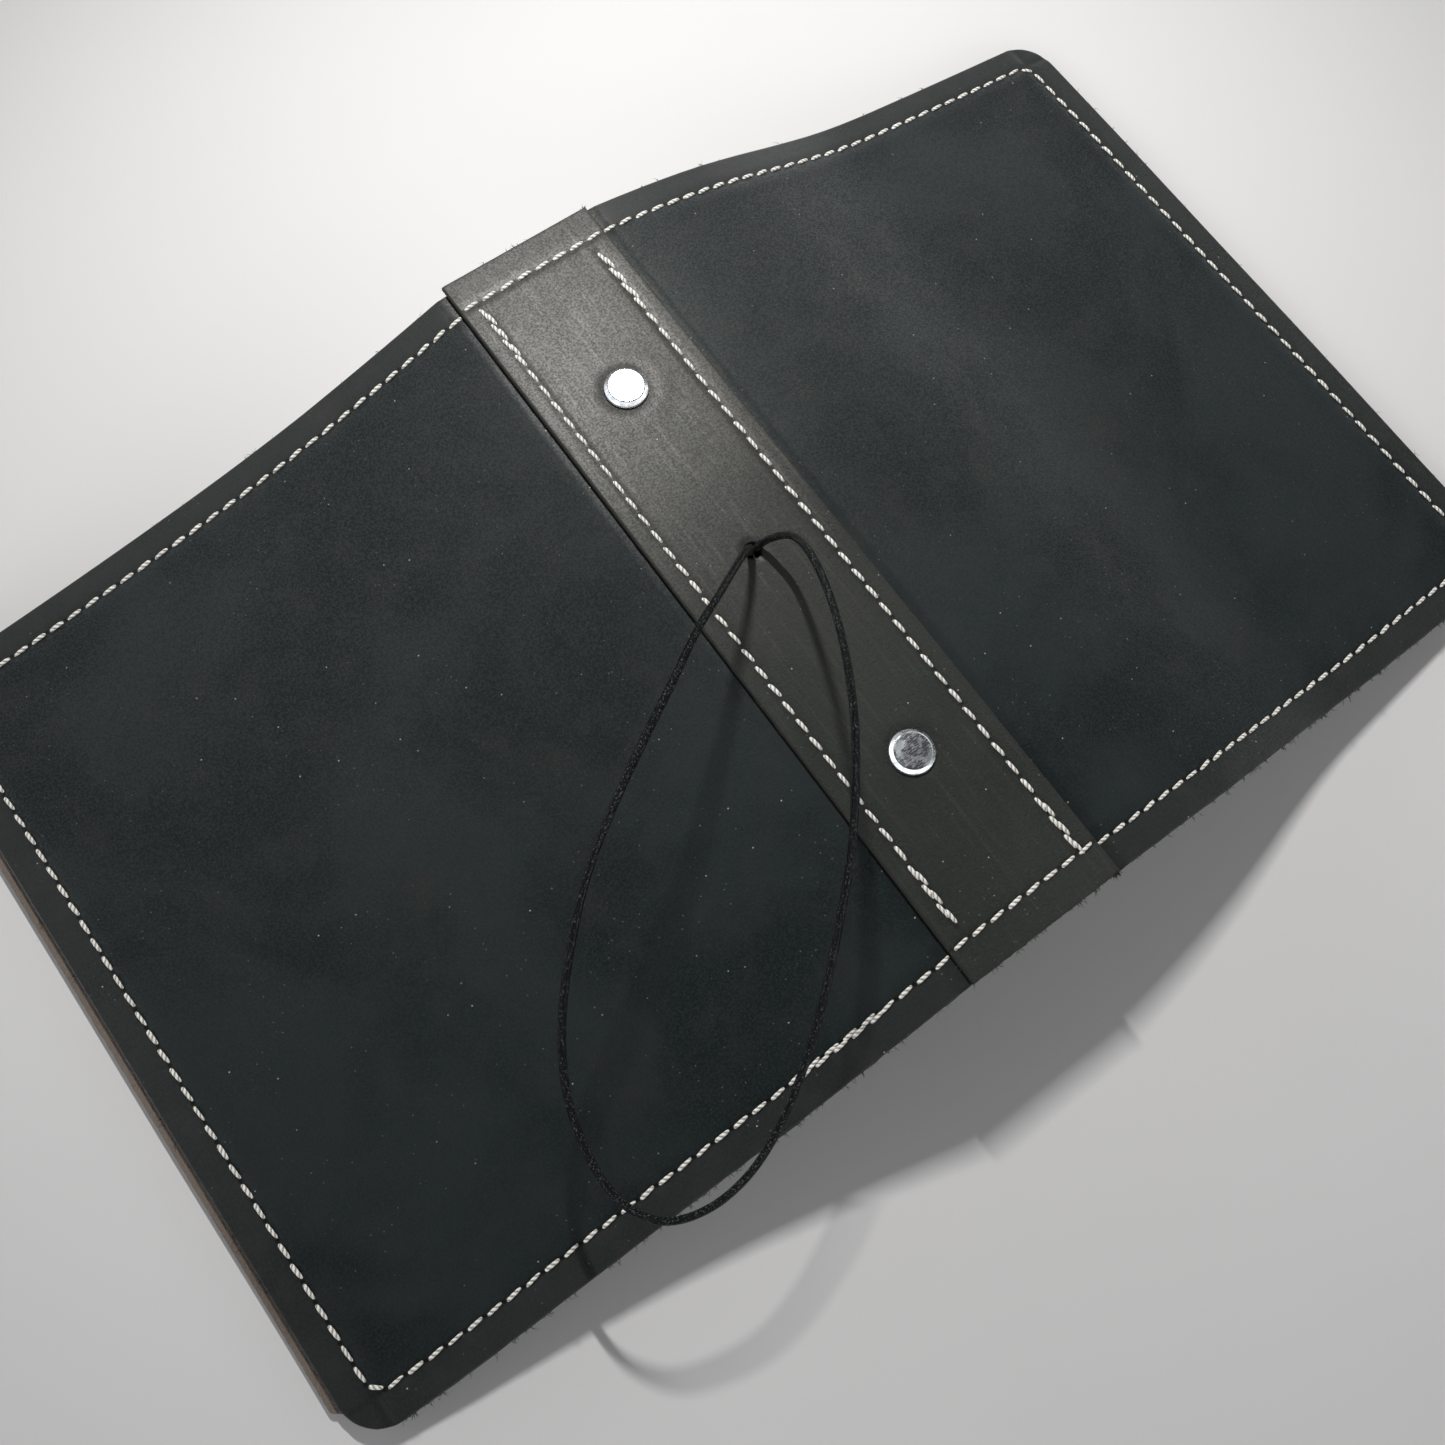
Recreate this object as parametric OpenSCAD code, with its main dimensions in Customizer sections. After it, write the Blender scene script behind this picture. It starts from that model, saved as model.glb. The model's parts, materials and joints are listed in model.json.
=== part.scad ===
// Leather ring-binder notebook cover, lying open with its outside up.
// +X runs across to the front cover, +Y to the far end of the spine, +Z up.
// The origin is on the table under the middle of the spine.

/* [Covers] */
// Width of each cover's leather, from its hinge to its outer edge
cover_w = 182; // [170:1:190]
// Height of the covers, along the spine
cover_h = 233; // [225:1:238]
// Thickness of every layer of leather
leather_t = 2; // [1.8:0.1:2.2]
// Radius of the outer corners
corner_r = 12; // [6:1:16]

/* [Spine] */
// Height of the spine's outer face above the table
spine_top = 43; // [42.6:0.1:43.4]
// Width of the spine strip
strip_w = 48; // [46:1:52]
// Length of the spine strip, a little longer than the covers
strip_h = 235; // [230:1:240]
// Width of each cover's margin that is sewn under the strip
margin_w = 13.5; // [11:0.5:15]
// Width of the bare leather between the strip and the fold line
fold_w = 2.5; // [2:0.5:4]

/* [Stitching] */
// Distance of the edge stitching from the covers' edge
stitch_in = 8.5; // [7:0.5:10]
// Distance of the long rows from the strip's edge
row_in = 5.3; // [4:0.1:8]
// Width of the waxed thread
thread_w = 1.1; // [0.8:0.1:1.4]
// Depth that the thread sinks into the leather
thread_t = 0.5; // [0.3:0.1:0.8]

/* [Rings] */
// Distance between the two rings, as punched in standard leaves
ring_gap = 80; // [80:1:80]
// Radius of the ring wire's centre line
ring_r = 17; // [16.8:0.1:17.2]
// Diameter of the ring wire
wire_d = 3; // [2.8:0.1:3.2]
// Distance between the two rivets
rivet_gap = 126; // [124:1:128]
// Diameter of the rivet caps
cap_d = 12.4; // [10:0.2:13]

/* [Elastic] */
// Diameter of the elastic cord
elastic_d = 2; // [1.6:0.1:2.2]
// Distance of the elastic's hole from the middle of the spine
hole_y = 5; // [5:1:5]
// Diameter of the elastic's hole
hole_d = 5; // [4.8:0.1:5.4]

/* [Hidden] */
$fn = 48;
eps = 0.01;
// how far a cutter runs past the face it cuts
over = 1;

leather = [0.13, 0.14, 0.14];
lining_brown = [0.20, 0.17, 0.15];
board = [0.30, 0.27, 0.24];
thread = [0.86, 0.85, 0.80];
chrome = [0.80, 0.81, 0.83];
steel = [0.62, 0.63, 0.65];
elastic = [0.05, 0.05, 0.05];

// heights of the layers of the spine, from its outer face down
strip_z = spine_top - leather_t;
margin_z = strip_z - leather_t;
lining_z = margin_z - leather_t;

// the fold: the pivot is in the middle of the cover's leather
pivot_x = strip_w / 2 + fold_w;
pivot_z = margin_z + leather_t / 2;
fold_gap = 0.3;
fold_start = leather_t / 2 + fold_gap;

// the cover's shape at rest: slope in degrees against the share of its width
front_slopes = [[0, 10], [0.11, 13], [0.22, 17], [0.33, 20.5], [0.44, 18.5], [0.53, 12],
                [0.62, 8], [1, 6.5]];
back_slopes = [[0, 18], [0.25, 15.5], [0.5, 10.5], [0.75, 8], [1, 6.5]];
stations = 20;
pocket_start = cover_w / stations;
edge_touch = 0.02;
cover_drop = pivot_z - 1.5 * leather_t + edge_touch;

function sum_to(v, n, i = 0) = i >= n ? 0 : v[i] + sum_to(v, n, i + 1);
// the drop of each short step, at the slope half way along it, scaled by gain
function step_drops(table, gain) =
    [for (i = [0 : stations - 1])
        cover_w / stations * sin(gain * lookup((i + 0.5) / stations, table))];
function drop(table, gain) = sum_to(step_drops(table, gain), stations);
// the gain with which the cover's outer edge just reaches the table
function first_gain(table) = cover_drop / drop(table, 1);
function rest_gain(table) = first_gain(table) * cover_drop / drop(table, first_gain(table));

// a point of the leather's middle line at distance s from the pivot
function mid_parts(table, gain, s) =
    [for (i = [0 : stations - 1])
        let (a = gain * lookup(s * (i + 0.5) / stations / cover_w, table))
        s / stations * [cos(a), -sin(a)]];
function mid_x(parts) = sum_to([for (p = parts) p[0]], stations);
function mid_z(parts) = sum_to([for (p = parts) p[1]], stations);
function mid_point(table, gain, s) =
    let (parts = mid_parts(table, gain, s)) [pivot_x + mid_x(parts), pivot_z + mid_z(parts)];
function normal(table, gain, s) =
    let (a = gain * lookup(s / cover_w, table)) [sin(a), cos(a)];
// every layer bends at the same stations, so that the layers lie on each other
function stops(from) =
    [from, for (i = [1 : stations]) if (cover_w * i / stations > from) cover_w * i / stations];
function skin(table, gain, from, lift) =
    [for (s = stops(from)) mid_point(table, gain, s) + lift * normal(table, gain, s)];
function reversed(v) = [for (i = [len(v) - 1 : -1 : 0]) v[i]];

front_gain = rest_gain(front_slopes);
back_gain = rest_gain(back_slopes);
front_edge_x = mid_point(front_slopes, front_gain, cover_w)[0];
back_edge_x = mid_point(back_slopes, back_gain, cover_w)[0];

// a layer of a cover between two lifts from the middle line, along the whole height
module cover_layer(table, gain, from, low, high) {
    rotate([90, 0, 0])
        linear_extrude(height = cover_h, center = true)
            polygon(concat(skin(table, gain, from, high), reversed(skin(table, gain, from, low))));
}

// plan view of a cover with its two outer corners rounded
module cover_plan(edge_x) {
    corner_y = cover_h / 2 - corner_r;
    translate([0, -cover_h / 2])
        square([edge_x - corner_r, cover_h]);
    translate([0, -corner_y])
        square([edge_x + leather_t, 2 * corner_y]);
    for (side = [-1, 1])
        translate([edge_x - corner_r, side * corner_y])
            circle(r = corner_r, $fn = 96);
}

// plan view of the stitched line along three edges of a cover
module stitch_plan(edge_x) {
    line_x = edge_x - stitch_in;
    line_y = cover_h / 2 - stitch_in;
    half = thread_w / 2;
    difference() {
        translate([0, -line_y - half])
            square([line_x + half, 2 * (line_y + half)]);
        translate([-1, -line_y + half])
            square([line_x - half + 1, 2 * (line_y - half)]);
    }
}

module cover_thread(table, gain, edge_x) {
    intersection() {
        cover_layer(table, gain, fold_start, leather_t / 2 - thread_t, leather_t / 2);
        linear_extrude(height = spine_top)
            stitch_plan(edge_x);
    }
}

module cover_outer(table, gain, edge_x) {
    difference() {
        intersection() {
            cover_layer(table, gain, fold_start, -leather_t / 2, leather_t / 2);
            linear_extrude(height = spine_top)
                cover_plan(edge_x);
        }
        cover_thread(table, gain, edge_x);
    }
}

module cover_inner(table, gain, edge_x) {
    intersection() {
        cover_layer(table, gain, pocket_start, -1.5 * leather_t, -leather_t / 2);
        linear_extrude(height = spine_top)
            cover_plan(edge_x);
    }
}

module front_panel() {
    color(leather)
        cover_outer(front_slopes, front_gain, front_edge_x);
}

module back_panel() {
    color(leather)
        mirror([1, 0, 0])
            cover_outer(back_slopes, back_gain, back_edge_x);
}

module front_pocket() {
    color(lining_brown)
        cover_inner(front_slopes, front_gain, front_edge_x);
}

module back_pocket() {
    color(lining_brown)
        mirror([1, 0, 0])
            cover_inner(back_slopes, back_gain, back_edge_x);
}

module front_edge_thread() {
    color(thread)
        cover_thread(front_slopes, front_gain, front_edge_x);
}

module back_edge_thread() {
    color(thread)
        mirror([1, 0, 0])
            cover_thread(back_slopes, back_gain, back_edge_x);
}

// ---- spine -------------------------------------------------------------

rivet_y = rivet_gap / 2;
post_d = 4;
post_clear = 0.1;
row_x = strip_w / 2 - row_in;
end_y = cover_h / 2 - stitch_in;
row_end_gap = 4.5;
row_h = 2 * (end_y - row_end_gap);

// the holes that the rivets and the elastic go through, over a height
module spine_holes(low, high) {
    for (side = [-1, 1])
        translate([0, side * rivet_y, low - eps])
            cylinder(d = post_d + 2 * post_clear, h = high - low + 2 * eps);
    translate([0, hole_y, low - eps])
        cylinder(d = hole_d, h = high - low + 2 * eps);
}

module flat_layer(width, height, low) {
    translate([-width / 2, -height / 2, low])
        cube([width, height, leather_t]);
}

module row_thread() {
    translate([row_x - thread_w / 2, -row_h / 2, spine_top - thread_t])
        cube([thread_w, row_h, thread_t]);
}

module end_thread() {
    translate([-strip_w / 2, end_y - thread_w / 2, spine_top - thread_t])
        cube([strip_w, thread_w, thread_t]);
}

module spine_strip() {
    color(leather)
        difference() {
            flat_layer(strip_w, strip_h, strip_z);
            spine_holes(strip_z, spine_top);
            front_row_thread();
            back_row_thread();
            far_end_thread();
            near_end_thread();
        }
}

// a stiff board fills the space between the two margins
stiffener_w = strip_w - 2 * margin_w;
stiffener_short = 2;

module spine_stiffener() {
    color(board)
        difference() {
            flat_layer(stiffener_w, cover_h - 2 * stiffener_short, margin_z);
            spine_holes(margin_z, strip_z);
        }
}

module spine_lining() {
    color(lining_brown)
        difference() {
            flat_layer(strip_w, cover_h, lining_z);
            spine_holes(lining_z, margin_z);
        }
}

// the part of a cover's leather that lies under the strip, with a rounded nose at the fold
module margin() {
    translate([stiffener_w / 2, -cover_h / 2, margin_z])
        cube([pivot_x - stiffener_w / 2, cover_h, leather_t]);
    translate([pivot_x, 0, pivot_z])
        rotate([90, 0, 0])
            cylinder(d = leather_t, h = cover_h, center = true);
}

module front_margin() {
    color(leather)
        margin();
}

module back_margin() {
    color(leather)
        mirror([1, 0, 0])
            margin();
}

module front_row_thread() {
    color(thread)
        row_thread();
}

module back_row_thread() {
    color(thread)
        mirror([1, 0, 0])
            row_thread();
}

module far_end_thread() {
    color(thread)
        end_thread();
}

module near_end_thread() {
    color(thread)
        mirror([0, 1, 0])
            end_thread();
}

// ---- ring mechanism ----------------------------------------------------

sheet_t = 0.8;
crown_z = lining_z - 4.4;
crown_half = 7;
plate_half = 11.8;
shoulder_z = crown_z + 2.6;
plate_h = 152;
blade_t = 1;
blade_low = crown_z + 2.8;
blade_pivot_x = 10.2;
blade_pivot_z = blade_low + blade_t / 2;
blade_h = 138;
blade_inner = 0.3;
wire_r = wire_d / 2;
ring_z = ring_r + wire_r;
leg_angle = 40;
leg_foot = [ring_r * cos(leg_angle), ring_z + ring_r * sin(leg_angle)];
peg_x = leg_foot[0] - (blade_low - leg_foot[1]) * tan(leg_angle);
peg_r = 1;
peg_root = 1;
leg_merge = 0.8;
leg_r = wire_r + 0.2;
half_gap = 0.05;
notch_w = wire_d + 1.4;
notch_in = 1.4;
notch_l = 8;
notch_h = 2.9;
post_slot_r = 3.4;
knot_slot_r = 4.4;
lug_x = 6.2;
lug_t = 1.2;
lug_h = 4;
pin_y = 72.5;
pin_z = spine_top - 8;
pin_r = 0.8;
pin_clear = 0.05;
pin_half = lug_x + lug_t - 0.1;
lever_half = 5.5;
foot_r = 4.5;
foot_t = 1;

module rivet() {
    rotate_extrude($fn = 96)
        polygon([[0, 0], [cap_d / 2 - 0.2, 0], [cap_d / 2, 0.3], [cap_d / 2 - 0.2, 0.7],
                 [cap_d / 2 - 1.1, 1.6], [cap_d / 2 - 1.4, 1.75], [0, 1.85]]);
    translate([0, 0, crown_z - foot_t - spine_top])
        cylinder(d = post_d, h = spine_top - crown_z + foot_t + eps);
}

module far_rivet() {
    color(chrome)
        translate([0, rivet_y, spine_top])
            rivet();
}

module near_rivet() {
    color(chrome)
        translate([0, -rivet_y, spine_top])
            rivet();
}

module rivet_foot() {
    difference() {
        rotate_extrude($fn = 96)
            polygon([[0, 0], [foot_r - 0.6, 0], [foot_r, 0.5], [foot_r, foot_t], [0, foot_t]]);
        translate([0, 0, -eps])
            cylinder(d = post_d, h = foot_t + 2 * eps);
    }
}

module far_rivet_foot() {
    color(chrome)
        translate([0, rivet_y, crown_z - foot_t])
            rivet_foot();
}

module near_rivet_foot() {
    color(chrome)
        translate([0, -rivet_y, crown_z - foot_t])
            rivet_foot();
}

// half of the bent sheet's profile, with its edge standing on the lining
plate_side = [[0, crown_z], [crown_half, crown_z], [plate_half, shoulder_z],
              [plate_half, lining_z], [plate_half - sheet_t, lining_z],
              [plate_half - sheet_t, shoulder_z + 0.4], [crown_half - 0.3, crown_z + sheet_t],
              [0, crown_z + sheet_t]];

module plate_half_sheet() {
    rotate([90, 0, 0])
        linear_extrude(height = plate_h, center = true)
            polygon(plate_side);
}

// an ear that carries one end of a lever's pin
module lug() {
    difference() {
        translate([lug_x, pin_y - lug_h / 2, crown_z + sheet_t / 2])
            cube([lug_t, lug_h, lining_z - crown_z - sheet_t]);
        translate([lug_x - over, pin_y, pin_z])
            rotate([0, 90, 0])
                cylinder(r = pin_r + pin_clear, h = lug_t + 2 * over);
    }
}

module ring_cover_plate() {
    color(chrome)
        difference() {
            union() {
                for (side = [0, 1])
                    mirror([side, 0, 0]) {
                        plate_half_sheet();
                        for (end = [0, 1])
                            mirror([0, end, 0])
                                lug();
                    }
            }
            for (x_side = [0, 1], y_side = [-1, 1])
                mirror([x_side, 0, 0])
                    translate([crown_half - notch_in, y_side * ring_gap / 2 - notch_w / 2,
                               crown_z - over])
                        cube([notch_l, notch_w, notch_h + over]);
            for (side = [-1, 1])
                translate([0, side * rivet_y, crown_z - over])
                    cylinder(d = post_d + 2 * post_clear, h = sheet_t + 2 * over);
        }
}

module ring_blade() {
    difference() {
        union() {
            translate([blade_inner, -blade_h / 2, blade_low])
                cube([blade_pivot_x - blade_inner, blade_h, blade_t]);
            translate([blade_pivot_x, 0, blade_pivot_z])
                rotate([90, 0, 0])
                    cylinder(d = blade_t, h = blade_h, center = true);
        }
        for (side = [-1, 1]) {
            translate([0, side * rivet_y, blade_low - over])
                cylinder(r = post_slot_r, h = blade_t + 2 * over);
            translate([peg_x, side * ring_gap / 2, blade_low - over])
                cylinder(r = peg_r, h = blade_t + 2 * over);
        }
        translate([0, hole_y, blade_low - over])
            cylinder(r = knot_slot_r, h = blade_t + 2 * over);
    }
}

module front_ring_blade() {
    color(steel)
        ring_blade();
}

module back_ring_blade() {
    color(steel)
        mirror([1, 0, 0])
            ring_blade();
}

// half a ring: a round arc, a thicker straight leg up to the blade, and a peg through it
module half_ring() {
    tip_angle = asin(half_gap / ring_r);
    leg_l = (blade_low - leg_foot[1]) / cos(leg_angle);
    intersection() {
        translate([0, 0, ring_z])
            rotate([90, 0, 0]) {
                rotate([0, 0, tip_angle - 90])
                    rotate_extrude(angle = 90 - tip_angle + leg_angle, $fn = 96)
                        translate([ring_r, 0])
                            circle(r = wire_r, $fn = 32);
            }
        translate([0, -wire_d, -eps])
            cube([ring_r + wire_d, 2 * wire_d, blade_low + eps]);
    }
    intersection() {
        translate([leg_foot[0], 0, leg_foot[1]])
            rotate([0, -leg_angle, 0])
                translate([0, 0, -leg_merge])
                    cylinder(r = leg_r, h = leg_l + wire_d, $fn = 32);
        translate([0, -wire_d, 0])
            cube([ring_r + wire_d, 2 * wire_d, blade_low]);
    }
    translate([peg_x, 0, blade_low - peg_root])
        cylinder(r = peg_r, h = blade_t + peg_root);
}

module front_far_ring() {
    color(chrome)
        translate([0, ring_gap / 2, 0])
            half_ring();
}

module front_near_ring() {
    color(chrome)
        translate([0, -ring_gap / 2, 0])
            half_ring();
}

module back_far_ring() {
    color(chrome)
        translate([0, ring_gap / 2, 0])
            mirror([1, 0, 0])
                half_ring();
}

module back_near_ring() {
    color(chrome)
        translate([0, -ring_gap / 2, 0])
            mirror([1, 0, 0])
                half_ring();
}

// side view of a lever round its pin: a short finger inside, a curved tab outside
lever_side = [[-2.1, -0.4], [0, -1], [3.1, -1.2], [6.8, -2.9], [10.8, -5], [12.7, -9.4],
              [14.1, -9], [12, -3.5], [7.5, -1.3], [3.5, 0.3], [0, 1], [-2.1, 0.4]];

module lever() {
    translate([-lever_half, pin_y, pin_z])
        rotate([90, 0, 90])
            linear_extrude(height = 2 * lever_half)
                polygon(lever_side);
    translate([-pin_half, pin_y, pin_z])
        rotate([0, 90, 0])
            cylinder(r = pin_r, h = 2 * pin_half);
}

module far_lever() {
    color(chrome)
        lever();
}

module near_lever() {
    color(chrome)
        mirror([0, 1, 0])
            lever();
}

// ---- elastic -----------------------------------------------------------

// the elastic's way: out of its hole, over the back cover past its near edge, and back
route = [[-1, 5, 37], [-1, 5, 42], [-2, 4, 48], [-5.5, 2, 55], [-12.5, -2, 62],
         [-22, -7.5, 68.5], [-33.5, -13.5, 73], [-46, -21, 75], [-59.5, -28.5, 74],
         [-73.5, -36.5, 71], [-86.5, -45, 66.5], [-98.5, -55.5, 61], [-109.5, -67.5, 55],
         [-117.5, -80.5, 49], [-121.5, -94.5, 44], [-121.5, -107.5, 40], [-116, -117, 38.5],
         [-105.5, -121, 39], [-93, -120, 42], [-80, -114.5, 46.5], [-68, -106.5, 52],
         [-56.5, -97, 58.5], [-46, -87, 64.5], [-36, -77, 70], [-27.5, -66.5, 74.5],
         [-19, -55, 76.5], [-11.5, -43, 76.5], [-5, -31, 74], [0.5, -19.5, 69],
         [4.5, -9, 63], [6, -1.5, 56], [4, 3, 49], [1.5, 5, 43], [1, 5, 37]];
route_last = len(route) - 1;
cord_sides = 8;
rings_per_step = 2;
knot_r = 3.4;
knot_t = 3.4;

// a direction that the cord never runs along, from which its rings are turned
aside = [-0.65, 0.4, 0.65];

function at(i) = route[min(max(i, 0), route_last)];
// a smooth curve through the points, by the Catmull-Rom rule
function on_route(i, t) =
    let (a = at(i - 1), b = at(i), c = at(i + 1), d = at(i + 2))
    0.5 * (2 * b + (c - a) * t + (2 * a - 5 * b + 4 * c - d) * t * t
           + (3 * b - a - 3 * c + d) * t * t * t);
cord_line = [for (i = [0 : route_last - 1], k = [0 : rings_per_step - 1])
                on_route(i, k / rings_per_step),
             at(route_last)];
cord_last = len(cord_line) - 1;
function unit(v) = v / norm(v);
function along(i) =
    i == 0 || i == cord_last ? [0, 0, i == 0 ? 1 : -1]
    : unit(cord_line[i + 1] - cord_line[i - 1]);
function cord_ring(i) =
    let (t = along(i), u = unit(cross(aside, t)), v = cross(t, u))
    [for (k = [0 : cord_sides - 1])
        cord_line[i]
        + elastic_d / 2 * (cos(360 * k / cord_sides) * u + sin(360 * k / cord_sides) * v)];

module elastic_loop() {
    points = [for (i = [0 : cord_last]) each cord_ring(i)];
    walls = [for (i = [0 : cord_last - 1], k = [0 : cord_sides - 1])
                let (next = (k + 1) % cord_sides)
                [i * cord_sides + k, (i + 1) * cord_sides + k,
                 (i + 1) * cord_sides + next, i * cord_sides + next]];
    first_cap = [[for (k = [0 : cord_sides - 1]) k]];
    last_cap = [[for (k = [cord_sides - 1 : -1 : 0]) cord_last * cord_sides + k]];
    color(elastic)
        polyhedron(points = points, faces = concat(walls, first_cap, last_cap));
}

// the flattened knot that stops the elastic's two ends under the lining
module elastic_knot() {
    color(elastic)
        translate([0, hole_y, lining_z - knot_t])
            rotate_extrude($fn = 64) {
                translate([knot_r - knot_t / 2, knot_t / 2])
                    intersection() {
                        circle(d = knot_t);
                        translate([0, -knot_t])
                            square(2 * knot_t);
                    }
                square([knot_r - knot_t / 2, knot_t]);
            }
}

spine_strip();
spine_stiffener();
spine_lining();
front_margin();
back_margin();
front_panel();
back_panel();
front_pocket();
back_pocket();
front_edge_thread();
back_edge_thread();
front_row_thread();
back_row_thread();
far_end_thread();
near_end_thread();
far_rivet();
near_rivet();
far_rivet_foot();
near_rivet_foot();
ring_cover_plate();
front_ring_blade();
back_ring_blade();
front_far_ring();
front_near_ring();
back_far_ring();
back_near_ring();
far_lever();
near_lever();
elastic_loop();
elastic_knot();
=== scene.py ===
# %% [markdown]
# # A leather notebook cover, open and face down
#
# The real object is two covers of waxed leather sewn to a spine, with a strip of the same
# leather over the join, two rivets that hold a ring mechanism, and a loop of elastic.
# It could be modelled by pulling one mesh into shape, but then nothing could fold. So each
# layer of leather, each row of stitches and each metal part is a piece of its own, and
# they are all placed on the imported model, which is loaded first and never changed.

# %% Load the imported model
import json
import math

import bpy
import numpy as np
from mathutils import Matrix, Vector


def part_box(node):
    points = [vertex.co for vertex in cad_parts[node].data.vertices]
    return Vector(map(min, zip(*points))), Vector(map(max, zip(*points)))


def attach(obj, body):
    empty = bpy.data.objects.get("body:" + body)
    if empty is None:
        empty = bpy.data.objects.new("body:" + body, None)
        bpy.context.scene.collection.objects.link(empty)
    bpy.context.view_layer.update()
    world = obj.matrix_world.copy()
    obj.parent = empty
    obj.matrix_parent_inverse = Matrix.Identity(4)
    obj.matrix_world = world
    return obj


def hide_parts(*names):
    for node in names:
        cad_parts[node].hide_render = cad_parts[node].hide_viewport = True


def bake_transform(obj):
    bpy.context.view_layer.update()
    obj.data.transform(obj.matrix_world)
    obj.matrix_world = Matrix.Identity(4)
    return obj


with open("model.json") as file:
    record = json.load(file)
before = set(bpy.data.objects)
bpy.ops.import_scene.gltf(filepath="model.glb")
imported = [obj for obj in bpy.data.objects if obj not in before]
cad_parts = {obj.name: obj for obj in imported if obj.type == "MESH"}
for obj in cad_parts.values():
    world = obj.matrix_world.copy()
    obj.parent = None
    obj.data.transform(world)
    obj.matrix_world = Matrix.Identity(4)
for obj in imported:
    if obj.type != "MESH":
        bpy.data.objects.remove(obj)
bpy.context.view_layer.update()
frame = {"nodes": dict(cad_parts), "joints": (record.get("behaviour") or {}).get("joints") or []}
MM = 0.001


def corners(name):
    """The lowest and the highest corner of a node's box, as arrays in metres."""
    return [np.array(corner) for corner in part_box(name)]


strip_low, strip_high = corners("spine_strip")
STRIP_X, STRIP_Y, STRIP_TOP = strip_high
panel_high = corners("front_panel")[1]
fold = next(j for j in frame["joints"] if j["name"] == "front_cover_fold")
FOLD_X, _, FOLD_Z = fold["pos_m"]
HIDE = STRIP_TOP - strip_low[2]
half_hide = HIDE / 2
COVER_HALF = panel_high[1]
print(len(frame["nodes"]), "nodes; leather", round(HIDE / MM, 2), "mm; fold at", FOLD_X, FOLD_Z)

# %% [markdown]
# ## The camera
#
# The camera belongs early in the script, because a loose cord is judged by how much of it
# the camera sees. It looks steeply down from the near left, turned a good third of a right
# angle, through a fairly wide lens.

# %% Camera
camera_data = bpy.data.cameras.new("camera")
camera_data.lens = 34.05
camera_data.clip_start = 0.01
camera = bpy.data.objects.new("camera", camera_data)
camera.location = (-0.1125, -0.0978, 0.3734)
camera.rotation_euler = [math.radians(a) for a in (17.05, -3.78, -36.28)]
bpy.context.scene.collection.objects.link(camera)
bpy.context.scene.camera = camera
print("camera at", tuple(camera.location), "with a", camera_data.lens, "mm lens")

# %% [markdown]
# ## A mesh from arrays
#
# Every new piece here is a set of points and four-sided faces worked out with numpy.
# from_pydata takes them as they are. One helper makes the object, shades it smooth and
# stores extra numbers on its points, which the materials read later. The object stays at
# the origin, so its points are already where they belong in the shared frame.

# %% Mesh helpers
def make_piece(name, points, faces, **point_values):
    """One mesh object from an n by 3 array of points and a list or array of corner numbers."""
    mesh = bpy.data.meshes.new(name)
    mesh.from_pydata(points.tolist(), [], faces if isinstance(faces, list) else faces.tolist())
    mesh.shade_smooth()
    for key, values in point_values.items():
        values = np.asarray(values, np.float32)
        kind, field = ("FLOAT_VECTOR", "vector") if values.ndim > 1 else ("FLOAT", "value")
        mesh.attributes.new(key, kind, "POINT").data.foreach_set(field, values.ravel())
    piece = bpy.data.objects.new(name, mesh)
    bpy.context.scene.collection.objects.link(piece)
    return piece


def face_counts(pieces):
    """The number of faces of each piece in a dictionary, for printing."""
    return {name: len(piece.data.polygons) for name, piece in pieces.items()}


def grid_faces(rows, columns, first=0, closed=False):
    """Corner numbers of the squares between neighbouring points of a rows by columns grid."""
    wide = columns if closed else columns - 1
    i, j = np.meshgrid(np.arange(rows - 1), np.arange(wide), indexing="ij")
    k = (j + 1) % columns
    squares = np.stack([i * columns + j, (i + 1) * columns + j, (i + 1) * columns + k,
                        i * columns + k], axis=-1)
    return squares.reshape(-1, 4) + first


def unit(vectors):
    """The same directions with length one."""
    return vectors / np.maximum(np.linalg.norm(vectors, axis=-1, keepdims=True), 1e-12)


def gather(*groups):
    """Tuples of arrays joined part by part."""
    return tuple(np.concatenate(part) for part in zip(*groups))


def smooth_step(x, low, high):
    """0 below low, 1 above high, and an even S-shaped curve between them."""
    t = np.clip((x - low) / (high - low), 0, 1)
    return t * t * (3 - 2 * t)


def tube(name, line, radius, sides, aside, twist=0.0, shape=None):
    """A ring of points round every point of a line: centre + radius * (cos a, sin a) across it.

    The ring's two directions are the cross products of the line's direction with aside, which
    the line never runs along. twist turns the rings evenly, and shape scales them by angle.
    The points carry the way in mm and the angle as the attribute weave.
    """
    along = unit(np.gradient(line, axis=0))
    across = unit(np.cross(aside, along))
    third = np.cross(along, across)
    angle = 2 * np.pi * np.arange(sides) / sides
    size = radius * (np.ones(sides) if shape is None else shape(angle))
    step = np.linalg.norm(np.diff(line, axis=0), axis=1)
    way = np.concatenate([[0], np.cumsum(step)])
    turned = angle[None, :] + twist * way[:, None]
    points = (line[:, None] + (size * np.cos(turned))[..., None] * across[:, None]
              + (size * np.sin(turned))[..., None] * third[:, None])
    faces = grid_faces(len(line), sides, closed=True)[:, ::-1].tolist()
    last = (len(line) - 1) * sides
    faces += [list(range(sides)), list(range(last + sides - 1, last - 1, -1))]
    cloth = np.stack([np.repeat(way, sides) / MM, np.tile(angle, len(line)),
                      np.zeros(len(line) * sides)], axis=1)
    return make_piece(name, points.reshape(-1, 3), faces, weave=cloth)


print("helpers ready")

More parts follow.
